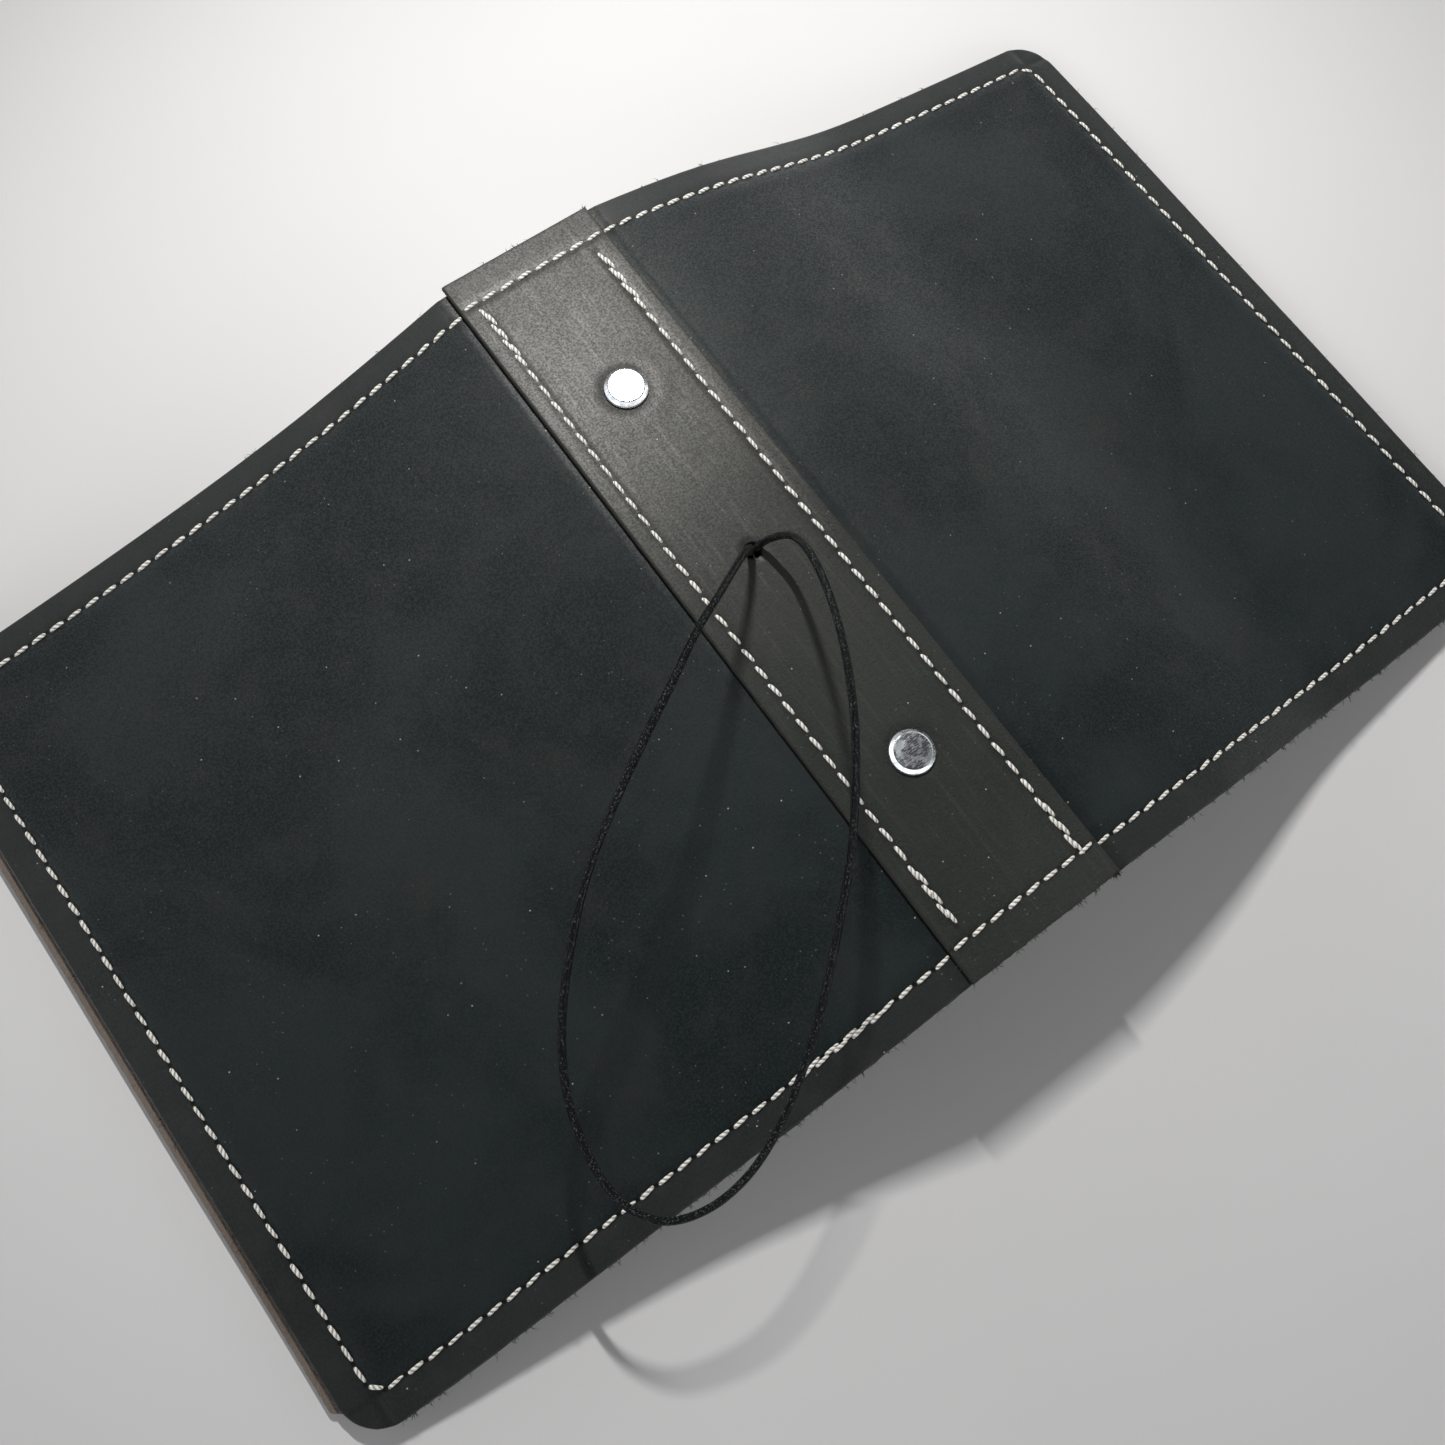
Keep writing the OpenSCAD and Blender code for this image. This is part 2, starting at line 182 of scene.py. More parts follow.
# %% [markdown]
# ## The elastic
#
# The elastic closes the notebook: both its ends go through one hole in the spine to a knot,
# and the loop springs up from there and arches over the back cover. Two millimetres of
# rubber in a braided sleeve are stiff enough to stand like that. A cloth simulation would
# drop it, so its route is given as points on a smooth curve. The sleeve is not quite
# round: the tube's profile has four low ridges, which wind along the curve.

# %% Elastic loop
LOOP_WAY = np.array([
    [-1, 5, 37], [-1, 5, 42], [-2, 4, 48], [-5.5, 2, 55], [-12.5, -2, 62], [-22, -7.5, 68.5],
    [-33.5, -13.5, 73], [-46, -21, 75], [-59.5, -28.5, 74], [-73.5, -36.5, 71],
    [-86.5, -45, 66.5], [-98.5, -55.5, 61], [-109.5, -67.5, 55], [-117.5, -80.5, 49],
    [-121.5, -94.5, 44], [-121.5, -107.5, 40], [-116, -117, 38.5], [-105.5, -121, 39],
    [-93, -120, 42], [-80, -114.5, 46.5], [-68, -106.5, 52], [-56.5, -97, 58.5],
    [-46, -87, 64.5], [-36, -77, 70], [-27.5, -66.5, 74.5], [-19, -55, 76.5],
    [-11.5, -43, 76.5], [-5, -31, 74], [0.5, -19.5, 69], [4.5, -9, 63], [6, -1.5, 56],
    [4, 3, 49], [1.5, 5, 43], [1, 5, 37]]) * MM
LOOP_D = 2 * MM
TURN_PER_METRE = 25.0
HOLE = np.array([0, 5 * MM])
ASIDE = np.array([-0.65, 0.4, 0.65])


def smooth_line(points, steps):
    """The Catmull-Rom curve: each stretch leaves a point along the line between its neighbours."""
    ends = np.vstack([points[:1], points, points[-1:]])
    a, b, c, d = (ends[k:len(ends) - 3 + k, None] for k in range(4))
    t = (np.arange(steps) / steps)[None, :, None]
    curve = 0.5 * (2 * b + (c - a) * t + (2 * a - 5 * b + 4 * c - d) * t * t
                   + (3 * b - a - 3 * c + d) * t ** 3)
    return np.vstack([curve.reshape(-1, 3), points[-1:]])


def low_ridges(angle):
    """A circle with four low ridges: the radius is 0.97 + 0.06 * cos(2 a) squared."""
    return 0.97 + 0.06 * np.cos(2 * angle) ** 2


loop_line = smooth_line(LOOP_WAY, 10)
loop_length = np.linalg.norm(np.diff(loop_line, axis=0), axis=1).sum()
elastic = tube("elastic_cord_loop", loop_line, LOOP_D / 2, 16, ASIDE, TURN_PER_METRE,
               low_ridges)
print("elastic:", round(loop_length, 4), "m along its curve")

# %% [markdown]
# The two ends meet in a flat knot under the lining. A knot could be simulated, but nobody
# sees it tighten, so it is one curve that goes twice round the hole and three times up and
# down on the way, which is the plainest knot there is.

# %% Knot
KNOT_R = 1.75
KNOT_WEAVE = 0.6
KNOT_RISE = 0.65
KNOT_CORD_R = 0.98 * MM
knot_low, knot_high = corners("elastic_knot")
turn = np.linspace(0, 2 * np.pi, 97)
out = KNOT_R + KNOT_WEAVE * np.cos(3 * turn)
knot_line = np.stack([out * np.cos(2 * turn), out * np.sin(2 * turn),
                      KNOT_RISE * np.sin(3 * turn)], axis=1) * MM
knot_line += (knot_low + knot_high) / 2
knot = tube("elastic_end_knot", knot_line[:-1], KNOT_CORD_R, 12, np.array([0, 0.02, 1.0]))
print("knot", np.round((knot_high - knot_low) / MM, 1), "mm")

# %% [markdown]
# ## Floor and light
#
# A plain pale table, a row of seven small lamps high beyond the far side, and a soft sky. One
# wide lamp would blur every shadow alike. A row keeps the shadow edges that lie along it
# sharp and draws the others out in steps, as a strip of small bulbs does. It stands where
# the flat cap of the far rivet mirrors it to the camera.

# %% Floor and light
FLOOR_HALF = 8.0
floor = make_piece("table_top", FLOOR_HALF * np.array([[-1, -1, 0], [1, -1, 0], [1, 1, 0],
                                                       [-1, 1, 0]]), [[0, 1, 2, 3]])

lamp_data = bpy.data.lights.new("lamp", "SPOT")
lamp_data.shadow_soft_size = 0.0045
lamp_data.spot_size = math.radians(104)
lamp_data.spot_blend = 1.0
lamp_data.energy = 2.15
lamp_data.color = (1.0, 0.985, 0.955)
LAMP_X, LAMP_Z = 0.122, 0.505
LAMP_YS = np.linspace(0.262, 0.342, 7)
LAMP_TURN = (math.radians(-32), math.radians(9), 0)
for number, lamp_y in enumerate(LAMP_YS):
    lamp = bpy.data.objects.new(f"lamp_{number}", lamp_data)
    lamp.location = (LAMP_X, lamp_y, LAMP_Z)
    lamp.rotation_euler = LAMP_TURN
    bpy.context.scene.collection.objects.link(lamp)

sky = bpy.data.worlds.new("studio")
sky.use_nodes = True
bpy.context.scene.world = sky
bpy.context.scene.view_settings.view_transform = "Standard"
SKY_DARK = (0.04, 0.045, 0.05, 1)
SKY_BRIGHT = (1.9, 1.9, 1.91, 1)
print(len(LAMP_YS), "lamps of", lamp_data.energy, "W")

# %% [markdown]
# ## Materials as arithmetic
#
# A material is easier to read as a formula than as a picture of boxes and wires. Wire holds
# one output of a node, and adding or multiplying two of them adds the Math node that does
# it. Board.add makes every other node: its settings first, then its sockets.

# %% Material writing
def operator(operation, swapped=False):
    """A method of Wire that adds one Math node; swapped puts the wire second."""
    def method(self, other):
        return self.board.math(operation, *((other, self) if swapped else (self, other)))

    return method


class Wire:
    """One output of a node, which can be used in a sum as if it were a number."""

    __add__ = operator("ADD")
    __radd__ = operator("ADD", True)
    __sub__ = operator("SUBTRACT")
    __rsub__ = operator("SUBTRACT", True)
    __mul__ = operator("MULTIPLY")
    __rmul__ = operator("MULTIPLY", True)
    __pow__ = operator("POWER")
    least = operator("MINIMUM")
    most = operator("MAXIMUM")

    def __init__(self, board, socket):
        self.board = board
        self.socket = socket

    def __abs__(self):
        return self.board.math("ABSOLUTE", self)

    def ramp(self, low, high):
        """0 at low, 1 at high, with a smooth curve between them."""
        return self.board.add("ShaderNodeMapRange", {"interpolation_type": "SMOOTHSTEP"},
                              {"Value": self, "From Min": low, "From Max": high})

    def repeat(self, length):
        """The distance from the nearest multiple of length."""
        return abs(self.board.math("PINGPONG", self, length / 2))


class Board:
    """The nodes of one material."""

    def __init__(self, name, owner=None):
        self.material = owner or bpy.data.materials.new(name)
        self.material.use_nodes = True
        self.tree = self.material.node_tree
        self.tree.nodes.clear()

    def add(self, kind, settings=None, sockets=None, out=0):
        """One node; its settings are set first, then its sockets get a value or a link."""
        node = self.tree.nodes.new(kind)
        for key, value in (settings or {}).items():
            setattr(node, key, value)
        for key, value in (sockets or {}).items():
            if isinstance(value, Wire):
                self.tree.links.new(value.socket, node.inputs[key])
            else:
                node.inputs[key].default_value = value
        return Wire(self, node.outputs[out])

    def math(self, operation, *values):
        return self.add("ShaderNodeMath", {"operation": operation}, dict(enumerate(values)))

    def read(self, attribute, scale=1000):
        """A vector stored on the piece's points, by default turned from metres into mm."""
        stored = self.add("ShaderNodeAttribute", {"attribute_name": attribute}, out="Vector")
        return self.stretch(stored, (scale, scale, scale))

    def here(self):
        """The place on the object in mm."""
        place = self.add("ShaderNodeTexCoord", out="Object")
        return self.stretch(place, (1000, 1000, 1000))

    def stretch(self, vector, by):
        return self.add("ShaderNodeVectorMath", {"operation": "MULTIPLY"}, {0: vector, 1: by})

    def parts(self, vector):
        """The three numbers of a vector, each as a wire of its own."""
        first = self.add("ShaderNodeSeparateXYZ", sockets={0: vector})
        return [Wire(self, output) for output in first.socket.node.outputs]

    def number(self, attribute):
        """One number stored on the piece's points."""
        return self.add("ShaderNodeAttribute", {"attribute_name": attribute}, out="Fac")

    def noise(self, vector, per_mm, detail=3.0, roughness=0.5, warp=0.0):
        """Smooth noise between 0 and 1, with about per_mm waves in a mm."""
        return self.add("ShaderNodeTexNoise", None,
                        {"Vector": vector, "Scale": per_mm, "Detail": detail,
                         "Roughness": roughness, "Distortion": warp})

    def specks(self, vector, every_mm, size_mm):
        """1 in the middle of sparse round dots of that size, 0 elsewhere."""
        away = self.add("ShaderNodeTexVoronoi", None, {"Vector": vector, "Scale": 1 / every_mm})
        return 1 - (away * every_mm).ramp(size_mm * 0.4, size_mm)

    def blend(self, share, a, b):
        """Colour a where share is 0 and colour b where it is 1."""
        return self.add("ShaderNodeMix", {"data_type": "RGBA"}, {0: share, 6: a, 7: b}, out=2)

    def close(self, surface, kind="ShaderNodeOutputMaterial"):
        """Link a surface to the output node, which shows it."""
        output = self.tree.nodes.new(kind)
        self.tree.links.new(surface.socket, output.inputs["Surface"])

    def coats(self, tone, *layers):
        """A tone with each layer's colour laid over it in turn; a layer is (share, colour)."""
        for share, over in layers:
            tone = self.blend(share, tone, over)
        return tone

    def finish(self, colour, roughness, height=None, **constants):
        """The Principled surface, with a Bump node when there is a height in mm."""
        sockets = {"Base Color": colour, "Roughness": roughness}
        for key, value in constants.items():
            sockets[key.replace("_", " ")] = value
        if height is not None:
            sockets["Normal"] = self.add("ShaderNodeBump", None,
                                         {"Strength": 1.0, "Distance": MM, "Height": height})
        self.close(self.add("ShaderNodeBsdfPrincipled", None, sockets))
        return self.material


def colour(red, green, blue):
    """A colour socket's value."""
    return (red, green, blue, 1.0)


def studio_sky():
    """Dark overhead and bright low down, where lit walls would be, a little more on the left.

    The share of the bright colour grows with (1 - z) * 1.4 - y * 0.1 - x * 0.2.
    """
    board = Board("studio", sky)
    way = board.add("ShaderNodeTexCoord", out="Generated")
    x, y, z = board.parts(way)
    share = ((1 - z) * 1.4 - y * 0.1 - x * 0.2).ramp(0.55, 1.05)
    light = board.add("ShaderNodeBackground", None,
                      {"Color": board.blend(share, SKY_DARK, SKY_BRIGHT)})
    board.close(light, "ShaderNodeOutputWorld")


def table_material():
    """Satin white laminate, with very faint cloudy variation and a few specks of dust."""
    board = Board("white_table")
    spot = board.here()
    cloud = board.noise(spot, 0.01, 3)
    dust = board.specks(spot, 60, 0.35) * board.noise(spot, 0.02, 0).ramp(0.5, 0.6)
    base = board.coats(colour(0.585, 0.58, 0.585), (cloud, colour(0.615, 0.61, 0.615)),
                       (dust * 0.5, colour(0.25, 0.22, 0.2)))
    return board.finish(base, 0.42, board.noise(spot, 0.7, 3) * 0.01, Specular_IOR_Level=0.2)


studio_sky()
floor.data.materials.append(table_material())
print("table material ready")

# %% [markdown]
# ## The covers' shape
#
# An open binder lies like a low roof: the leather leaves the spine at a slope, bends and
# runs flat to the table. A slope that changes along the width says this in a few numbers:
# the curve is the sum of short steps, each turned down by the slope there. Leather can't
# stretch, so a point is named by its distance s from the fold, its place y along the spine
# and its lift off the middle of the hide, and one function turns these into a place.

# %% Cover curve
FRONT_SLOPES = [[0, 10], [0.11, 13], [0.22, 17], [0.33, 20.5], [0.44, 18.5], [0.53, 12],
                [0.62, 8], [1, 6.5]]
BACK_SLOPES = [[0, 18], [0.25, 15.5], [0.5, 10.5], [0.75, 8], [1, 6.5]]
# how far the hide was cut askew: (distance from the fold, shift along y, extra half height)
FRONT_SKEW = [[-20, 0, 0.6], [0, 0, 1.1], [40, -0.5, 1.6], [110, -1.8, 1.7], [182, -2.3, 0.9]]
BACK_SKEW = [[-20, 0, 0], [0, -0.9, 0.1], [50, -2.0, 0.4], [150, -2.2, 0.4],
             [182, -1.7, 0]]
COVER_W = 182 * MM
COVER_FALL = FOLD_Z - 1.5 * HIDE
FOLD_ROUND = 2 * MM


class CoverCurve:
    """The middle line of one cover's hide, from above the spine to the outer edge."""

    def __init__(self, slopes, side, skew):
        """Point by point sum of (cos slope, -sin slope) * step, scaled to reach the table."""
        share, degrees = np.array(slopes).T
        self.side = side
        self.skew = np.array(skew).T * MM
        self.s = np.linspace(0, COVER_W, 729)
        step = self.s[1]
        slope = np.radians(np.interp(self.s / COVER_W, share, degrees))
        slope *= smooth_step(self.s, -FOLD_ROUND, FOLD_ROUND)
        for _ in range(4):
            slope *= COVER_FALL / (np.sin(slope[1:]).sum() * step)
        self.slope = slope
        self.x = FOLD_X + np.concatenate([[0], np.cumsum(np.cos(slope[1:]))]) * step
        self.z = FOLD_Z - np.concatenate([[0], np.cumsum(np.sin(slope[1:]))]) * step

    def place(self, s, y, lift):
        """The place of a point of the leather, in metres; under the strip the hide is flat."""
        slope = np.interp(s, self.s, self.slope) * (s > 0)
        at, aside, wider = self.skew
        y = y + np.interp(s, at, aside) + y / COVER_HALF * np.interp(s, at, wider)
        x = np.interp(s, self.s, self.x) + np.minimum(s, 0) + np.maximum(s - COVER_W, 0)
        lift = lift + sway(s, y)
        return np.stack([self.side * (x + lift * np.sin(slope)), y + 0 * s,
                         np.interp(s, self.s, self.z) + lift * np.cos(slope)], axis=-1)


def sway(s, y):
    """Slow waves of the whole cover, in metres: two sines along y that grow away from the fold."""
    wave = 0.5 + 0.3 * np.sin(y / 0.031 + 1.0) + 0.2 * np.sin(y / 0.017 + s / 0.05)
    return 0.6 * MM * wave * smooth_step(s, 0.02, 0.15)


curves = {"front": CoverCurve(FRONT_SLOPES, 1, FRONT_SKEW),
          "back": CoverCurve(BACK_SLOPES, -1, BACK_SKEW)}
print("outer edges at x", [round(c.side * c.x[-1], 4) for c in curves.values()])

# %% [markdown]
# ## A flat piece of leather
#
# Cut leather has a smooth grain side, a rough flesh side and a raw edge all round. A cube
# with a Solidify would give all three the same finish. Here two grids, top and bottom, are
# joined round their rim by a wall of its own rows of points, so that the raw edge can be
# uneven and the material knows where it is. The grid's lines crowd near edges and seams.

# %% Leather pieces
CORNER_R = 12 * MM
STITCH_IN = 8.5 * MM
EDGE_ROUND = 0.45 * MM
EDGE_WANDER = 0.09 * MM
chance = np.random.default_rng(7)


def ruler(*stretches):
    """Grid lines in metres from stretches of (from mm, to mm, number of spaces)."""
    lines = [np.linspace(a, b, count + 1) for a, b, count in stretches]
    return np.unique(np.round(np.concatenate(lines), 5)) * MM


def mirrored(lines):
    """The same lines on both sides of zero."""
    return np.unique(np.concatenate([-lines, lines]))


def rim_order(rows, columns):
    """The grid's outermost points, once round, starting at its first corner."""
    number = np.arange(rows * columns).reshape(rows, columns)
    return np.concatenate([number[:-1, 0], number[-1, :-1], number[:0:-1, -1], number[0, :0:-1]])


def hide_piece(name, s, y, top, low, place):
    """A slab of leather: top and low are grids of lifts, and three rows of wall join them.

    The wall's rows lie at fixed shares between the two rims and wander by a little chance.
    All points carry (s, y, lift) as the attribute cut, and the attribute raw is 1 on the wall
    and 0 on the faces.
    """
    rows, columns = s.shape
    rim = rim_order(rows, columns)
    count = rows * columns
    s, y, top, low = (values.ravel() for values in (s, y, top, low))
    layers = [(s, y, top), (s, y, low)]
    for share in (0.2, 0.5, 0.8):
        wander = chance.normal(0, EDGE_WANDER, (2, len(rim)))
        layers.append((s[rim] + wander[0], y[rim] + wander[1],
                       top[rim] * (1 - share) + low[rim] * share))
    cut = gather(*layers)
    raw = np.zeros(len(cut[0]))
    raw[2 * count:] = 1
    raw[rim] = 0.6
    raw[rim + count] = 1
    loops = [rim] + [2 * count + k * len(rim) + np.arange(len(rim)) for k in range(3)]
    loops.append(rim + count)
    quads = [grid_faces(rows, columns), grid_faces(rows, columns, count)[:, ::-1]]
    for upper, lower in zip(loops[:-1], loops[1:]):
        quads.append(np.stack([upper, lower, np.roll(lower, -1), np.roll(upper, -1)], axis=1))
    points = place(*cut)
    faces = np.concatenate(quads)
    # the faces are turned over if those of the top, which come first, look down
    spread = points[faces[:, 2]] - points[faces[:, 0]]
    other = points[faces[:, 3]] - points[faces[:, 1]]
    if np.cross(spread, other)[:(rows - 1) * (columns - 1), 2].mean() < 0:
        faces = faces[:, ::-1]
    return make_piece(name, points, faces, cut=np.stack(cut, axis=1), raw=raw)


def edge_dip(away):
    """How far a surface falls at its edge: a quarter circle of radius EDGE_ROUND."""
    inside = np.clip(1 - away / EDGE_ROUND, 0, 1)
    return EDGE_ROUND * (1 - np.sqrt(1 - inside ** 2))


def rounded_cover(s_lines, y_lines, proud=0.0):
    """A cover's grid, its outer corners rounded by drawing the last stretch of s inwards.

    proud is how far the outer edge stands out beyond the outer leather between the corners.
    """
    s, y = np.meshgrid(s_lines, y_lines, indexing="ij")
    into = np.clip(np.abs(y) - (COVER_HALF - CORNER_R), 0, CORNER_R)
    drawn = CORNER_R - np.sqrt(CORNER_R ** 2 - into ** 2)
    start = COVER_W - 3 * CORNER_R
    drawn = drawn - proud * (1 - smooth_step(into, 0, 0.3 * CORNER_R))
    s = s - drawn * np.clip((s - start) / (COVER_W - start), 0, 1)
    return s, y, drawn


def cover_hide(name, curve, start_mm, low_lift, high_lift, sewn, proud=0.0):
    """One layer of a cover between two lifts; sewn is how deep its seam is drawn in."""
    half = COVER_HALF / MM
    s_lines = ruler((start_mm, start_mm + 0.4, 2), (start_mm + 0.4, 3, 14), (3, 165, 46),
                    (165, 178, 22), (178, 181.5, 5), (181.5, 182, 3))
    y_lines = mirrored(ruler((0, 100, 28), (100, 112, 20), (112, half - 0.5, 5),
                             (half - 0.5, half, 3)))
    s, y, drawn = rounded_cover(s_lines, y_lines, proud)
    edge = np.minimum(np.minimum(COVER_W - drawn - s, COVER_HALF - np.abs(y)), s - start_mm * MM)
    from_line = np.minimum(np.abs(np.abs(y) - (COVER_HALF - STITCH_IN)),
                           np.abs(COVER_W - STITCH_IN - s))
    outside = (np.abs(y) > COVER_HALF - STITCH_IN) | (s > COVER_W - STITCH_IN)
    seam = np.exp(-(from_line / (1.5 * MM)) ** 2) * (s > 0)
    swell = 0.12 * MM * np.exp(-((from_line - 4 * MM) / (2.5 * MM)) ** 2) * ~outside
    dip = edge_dip(edge)
    return hide_piece(name, s, y, high_lift - dip - sewn * seam + swell * (sewn > 0),
                      low_lift + dip + 0 * s, curve.place)


stiffener_high = corners("spine_stiffener")[1]
MARGIN_IN = stiffener_high[0] - FOLD_X
SEAM_DEPTH = 0.22 * MM
# how far each pocket stands out beyond its outer leather
PROUD = {"front": 0.8 * MM, "back": 2.8 * MM}
hides = {}
for side, curve in curves.items():
    hides[side] = cover_hide(side + "_cover_leather", curve, MARGIN_IN / MM, -half_hide,
                             half_hide, SEAM_DEPTH)
    pocket_low = min(abs(corner[0]) for corner in corners(side + "_pocket"))
    pocket_start = np.interp(pocket_low, curve.x, curve.s)
    hides[side + "_pocket"] = cover_hide(side + "_pocket_leather", curve, pocket_start / MM,
                                         -3 * half_hide, -half_hide, 0.0, PROUD[side])
print(face_counts(hides), "faces")

# %% [markdown]
# ## The strip over the spine
#
# The strip is a plain rectangle, pulled down along its stitches and round the two rivets,
# and with a small round hole for the elastic. Cutting the hole with a Boolean would leave
# long thin faces. Instead the squares round the hole are bent into rings, and the innermost
# ones go down into it.

# %% Strip, lining and stiffener
ROW_IN = 5.3 * MM
ROW_X = STRIP_X - ROW_IN
END_Y = COVER_HALF - STITCH_IN
HOLE_R = 2.3 * MM
HOLE_REACH = 6 * MM
PIT_SHARE = 0.92
rivet_spots = [sum(corners(name)) / 2 for name in ("far_rivet", "near_rivet")]


def ring_warp(x, y, centre, reach):
    """Bend the squares round a centre into circles: a point keeps its larger offset as radius."""
    dx, dy = x - centre[0], y - centre[1]
    square = np.maximum(np.abs(dx), np.abs(dy))
    true = np.maximum(np.hypot(dx, dy), 1e-9)
    share = 1 - smooth_step(square, 0.4 * reach, reach)
    scale = 1 + share * (square / true - 1)
    return centre[0] + dx * scale, centre[1] + dy * scale


def strip_top(x, y):
    """The strip's outer face: 0, less the seams, the edges, the rivets' rings and the hole."""
    rows = np.exp(-((np.abs(x) - ROW_X) / (1.3 * MM)) ** 2) * (np.abs(y) < END_Y - 3 * MM)
    ends = np.exp(-((np.abs(y) - END_Y) / (1.3 * MM)) ** 2)
    face = -0.18 * MM * np.maximum(rows, ends)
    for spot in rivet_spots:
        away = np.hypot(x - spot[0], y - spot[1])
        face -= 0.30 * MM * np.exp(-((away - 5.5 * MM) / (1.8 * MM)) ** 2)
        face += 0.10 * MM * np.exp(-((away - 10 * MM) / (2.5 * MM)) ** 2)
    hole = np.hypot(x - HOLE[0], y - HOLE[1])
    face -= 0.25 * MM * np.exp(-((hole - HOLE_R) / (1.2 * MM)) ** 2)
    return face


def level(height, way=1):
    """A place function for flat leather: the lift is measured from a height, up or down."""
    return lambda s, y, lift: np.stack([s, y, height + way * lift], axis=-1)


def flat_hide(name, half_x, half_y, z_low, z_high, shape_top, dense):
    """A flat rectangle of leather with the elastic's hole as a pit in its top face."""
    x_lines = mirrored(ruler((0, 6, 24 if dense else 12), (6, 15.5, 6), (15.5, 20.5, 16),
                             (20.5, half_x / MM - 0.5, 4),
                             (half_x / MM - 0.5, half_x / MM, 3)))
    x_lines = x_lines[np.abs(x_lines) <= half_x + 1e-6]
    y_lines = ruler((-half_y / MM, -half_y / MM + 0.5, 3), (-half_y / MM + 0.5, -105, 18),
                    (-105, -73, 12), (-73, -53, 24), (-53, -1, 18), (-1, 11, 48), (11, 53, 14),
                    (53, 73, 24), (73, 105, 12), (105, half_y / MM - 0.5, 18),
                    (half_y / MM - 0.5, half_y / MM, 3))
    x, y = np.meshgrid(x_lines, y_lines, indexing="ij")
    x, y = ring_warp(x, y, HOLE, HOLE_REACH)
    hole = np.hypot(x - HOLE[0], y - HOLE[1])
    middle = (z_low + z_high) / 2
    edge = np.minimum(half_x - np.abs(x), half_y - np.abs(y))
    inside = 1 - smooth_step(hole, HOLE_R - 0.3 * MM, HOLE_R + 0.15 * MM)
    pit = (z_high - z_low) * PIT_SHARE * inside
    top = z_high - middle - edge_dip(edge) + shape_top(x, y) - pit
    low = z_low - middle + edge_dip(edge)
    return hide_piece(name, x, y, top, low, level(middle))


def level_top(x, y):
    """A top face with no relief."""
    return 0 * x


lining_low, lining_high = corners("spine_lining")
strip = flat_hide("spine_strip_leather", STRIP_X, STRIP_Y, strip_low[2],
                  STRIP_TOP, strip_top, True)
stiffener = flat_hide("spine_stiffener_board", stiffener_high[0], stiffener_high[1],
                      stiffener_high[2] - HIDE, stiffener_high[2], level_top, False)
lining = flat_hide("spine_lining_leather", lining_high[0], lining_high[1], lining_low[2],
                   lining_high[2], level_top, False)
print("strip", len(strip.data.polygons), "faces")

# %% [markdown]
# ## Fibres of the cut edges
#
# Leather is a felt of fibres, and a knife leaves some of them standing out of a cut edge, in
# tufts. Each one here is a thin bent spike with three sides. They are placed in the same
# (s, y, lift) numbers as their hide, so the hide's own curve puts them where they belong.

# %% Edge fibres
TUFT = 7
TUFT_SPREAD = np.array([0.35, 0.35, 0.25]) * MM
FIBRE_R = 0.11 * MM
FIBRE_LENGTH = 0.55 * MM


def edge_fibres(name, place, root, outward, seed):
    """Spikes that start at root, an n by 3 array, and lean along outward, an n by 2 array.

    Each root grows a tuft. The way along a fibre is root + outward * length * t, plus a
    sideways bend that grows with t squared, and its radius shrinks evenly towards a point.
    """
    rolls = np.random.default_rng(seed)
    root = np.repeat(root, TUFT, axis=0) + rolls.normal(0, 1, (TUFT * len(root), 3)) * TUFT_SPREAD
    outward = np.repeat(outward, TUFT, axis=0)
    count = len(root)
    length = np.clip(rolls.exponential(FIBRE_LENGTH, count), 0.25 * MM, 1.4 * MM)[:, None, None]
    t = np.linspace(0, 1, 4)[None, :, None]
    ahead = np.concatenate([outward, np.zeros((count, 1))], axis=1)[:, None]
    aside = np.stack([-outward[:, 1], outward[:, 0], 0 * outward[:, 0]], axis=1)[:, None]
    bend = rolls.normal(0, 0.7, (2, count, 1, 1)) * length * t ** 2
    way = root[:, None] + ahead * (length * t - 0.2 * MM) + aside * bend[0]
    way = way + np.array([0, 0, 1.0]) * bend[1] * 0.5
    angle = 2 * np.pi * np.arange(3) / 3
    radius = FIBRE_R * (1 - 0.85 * t)[..., None]
    points = (way[:, :, None] + aside[:, :, None] * radius * np.cos(angle)[:, None]
              + np.array([0, 0, 1.0]) * radius * np.sin(angle)[:, None]).reshape(-1, 3)
    one = grid_faces(4, 3, closed=True).tolist() + [[0, 1, 2], [11, 10, 9]]
    faces = [[k + 12 * n for k in face] for n in range(count) for face in one]
    return make_piece(name, place(*points.T), faces, cut=points, raw=np.ones(len(points)))


def rim_roots(low, high, fixed, axis, lift, count):
    """Roots spread by chance along one straight edge, and the direction out of it.

    axis is the number of the coordinate that is fixed; the other one runs from low to high.
    """
    root = np.empty((count, 3))
    root[:, 1 - axis] = chance.uniform(low, high, count)
    root[:, axis] = fixed
    root[:, 2] = chance.uniform(*lift, count)
    out = np.zeros((count, 2))
    out[:, axis] = np.sign(fixed)
    return root, out


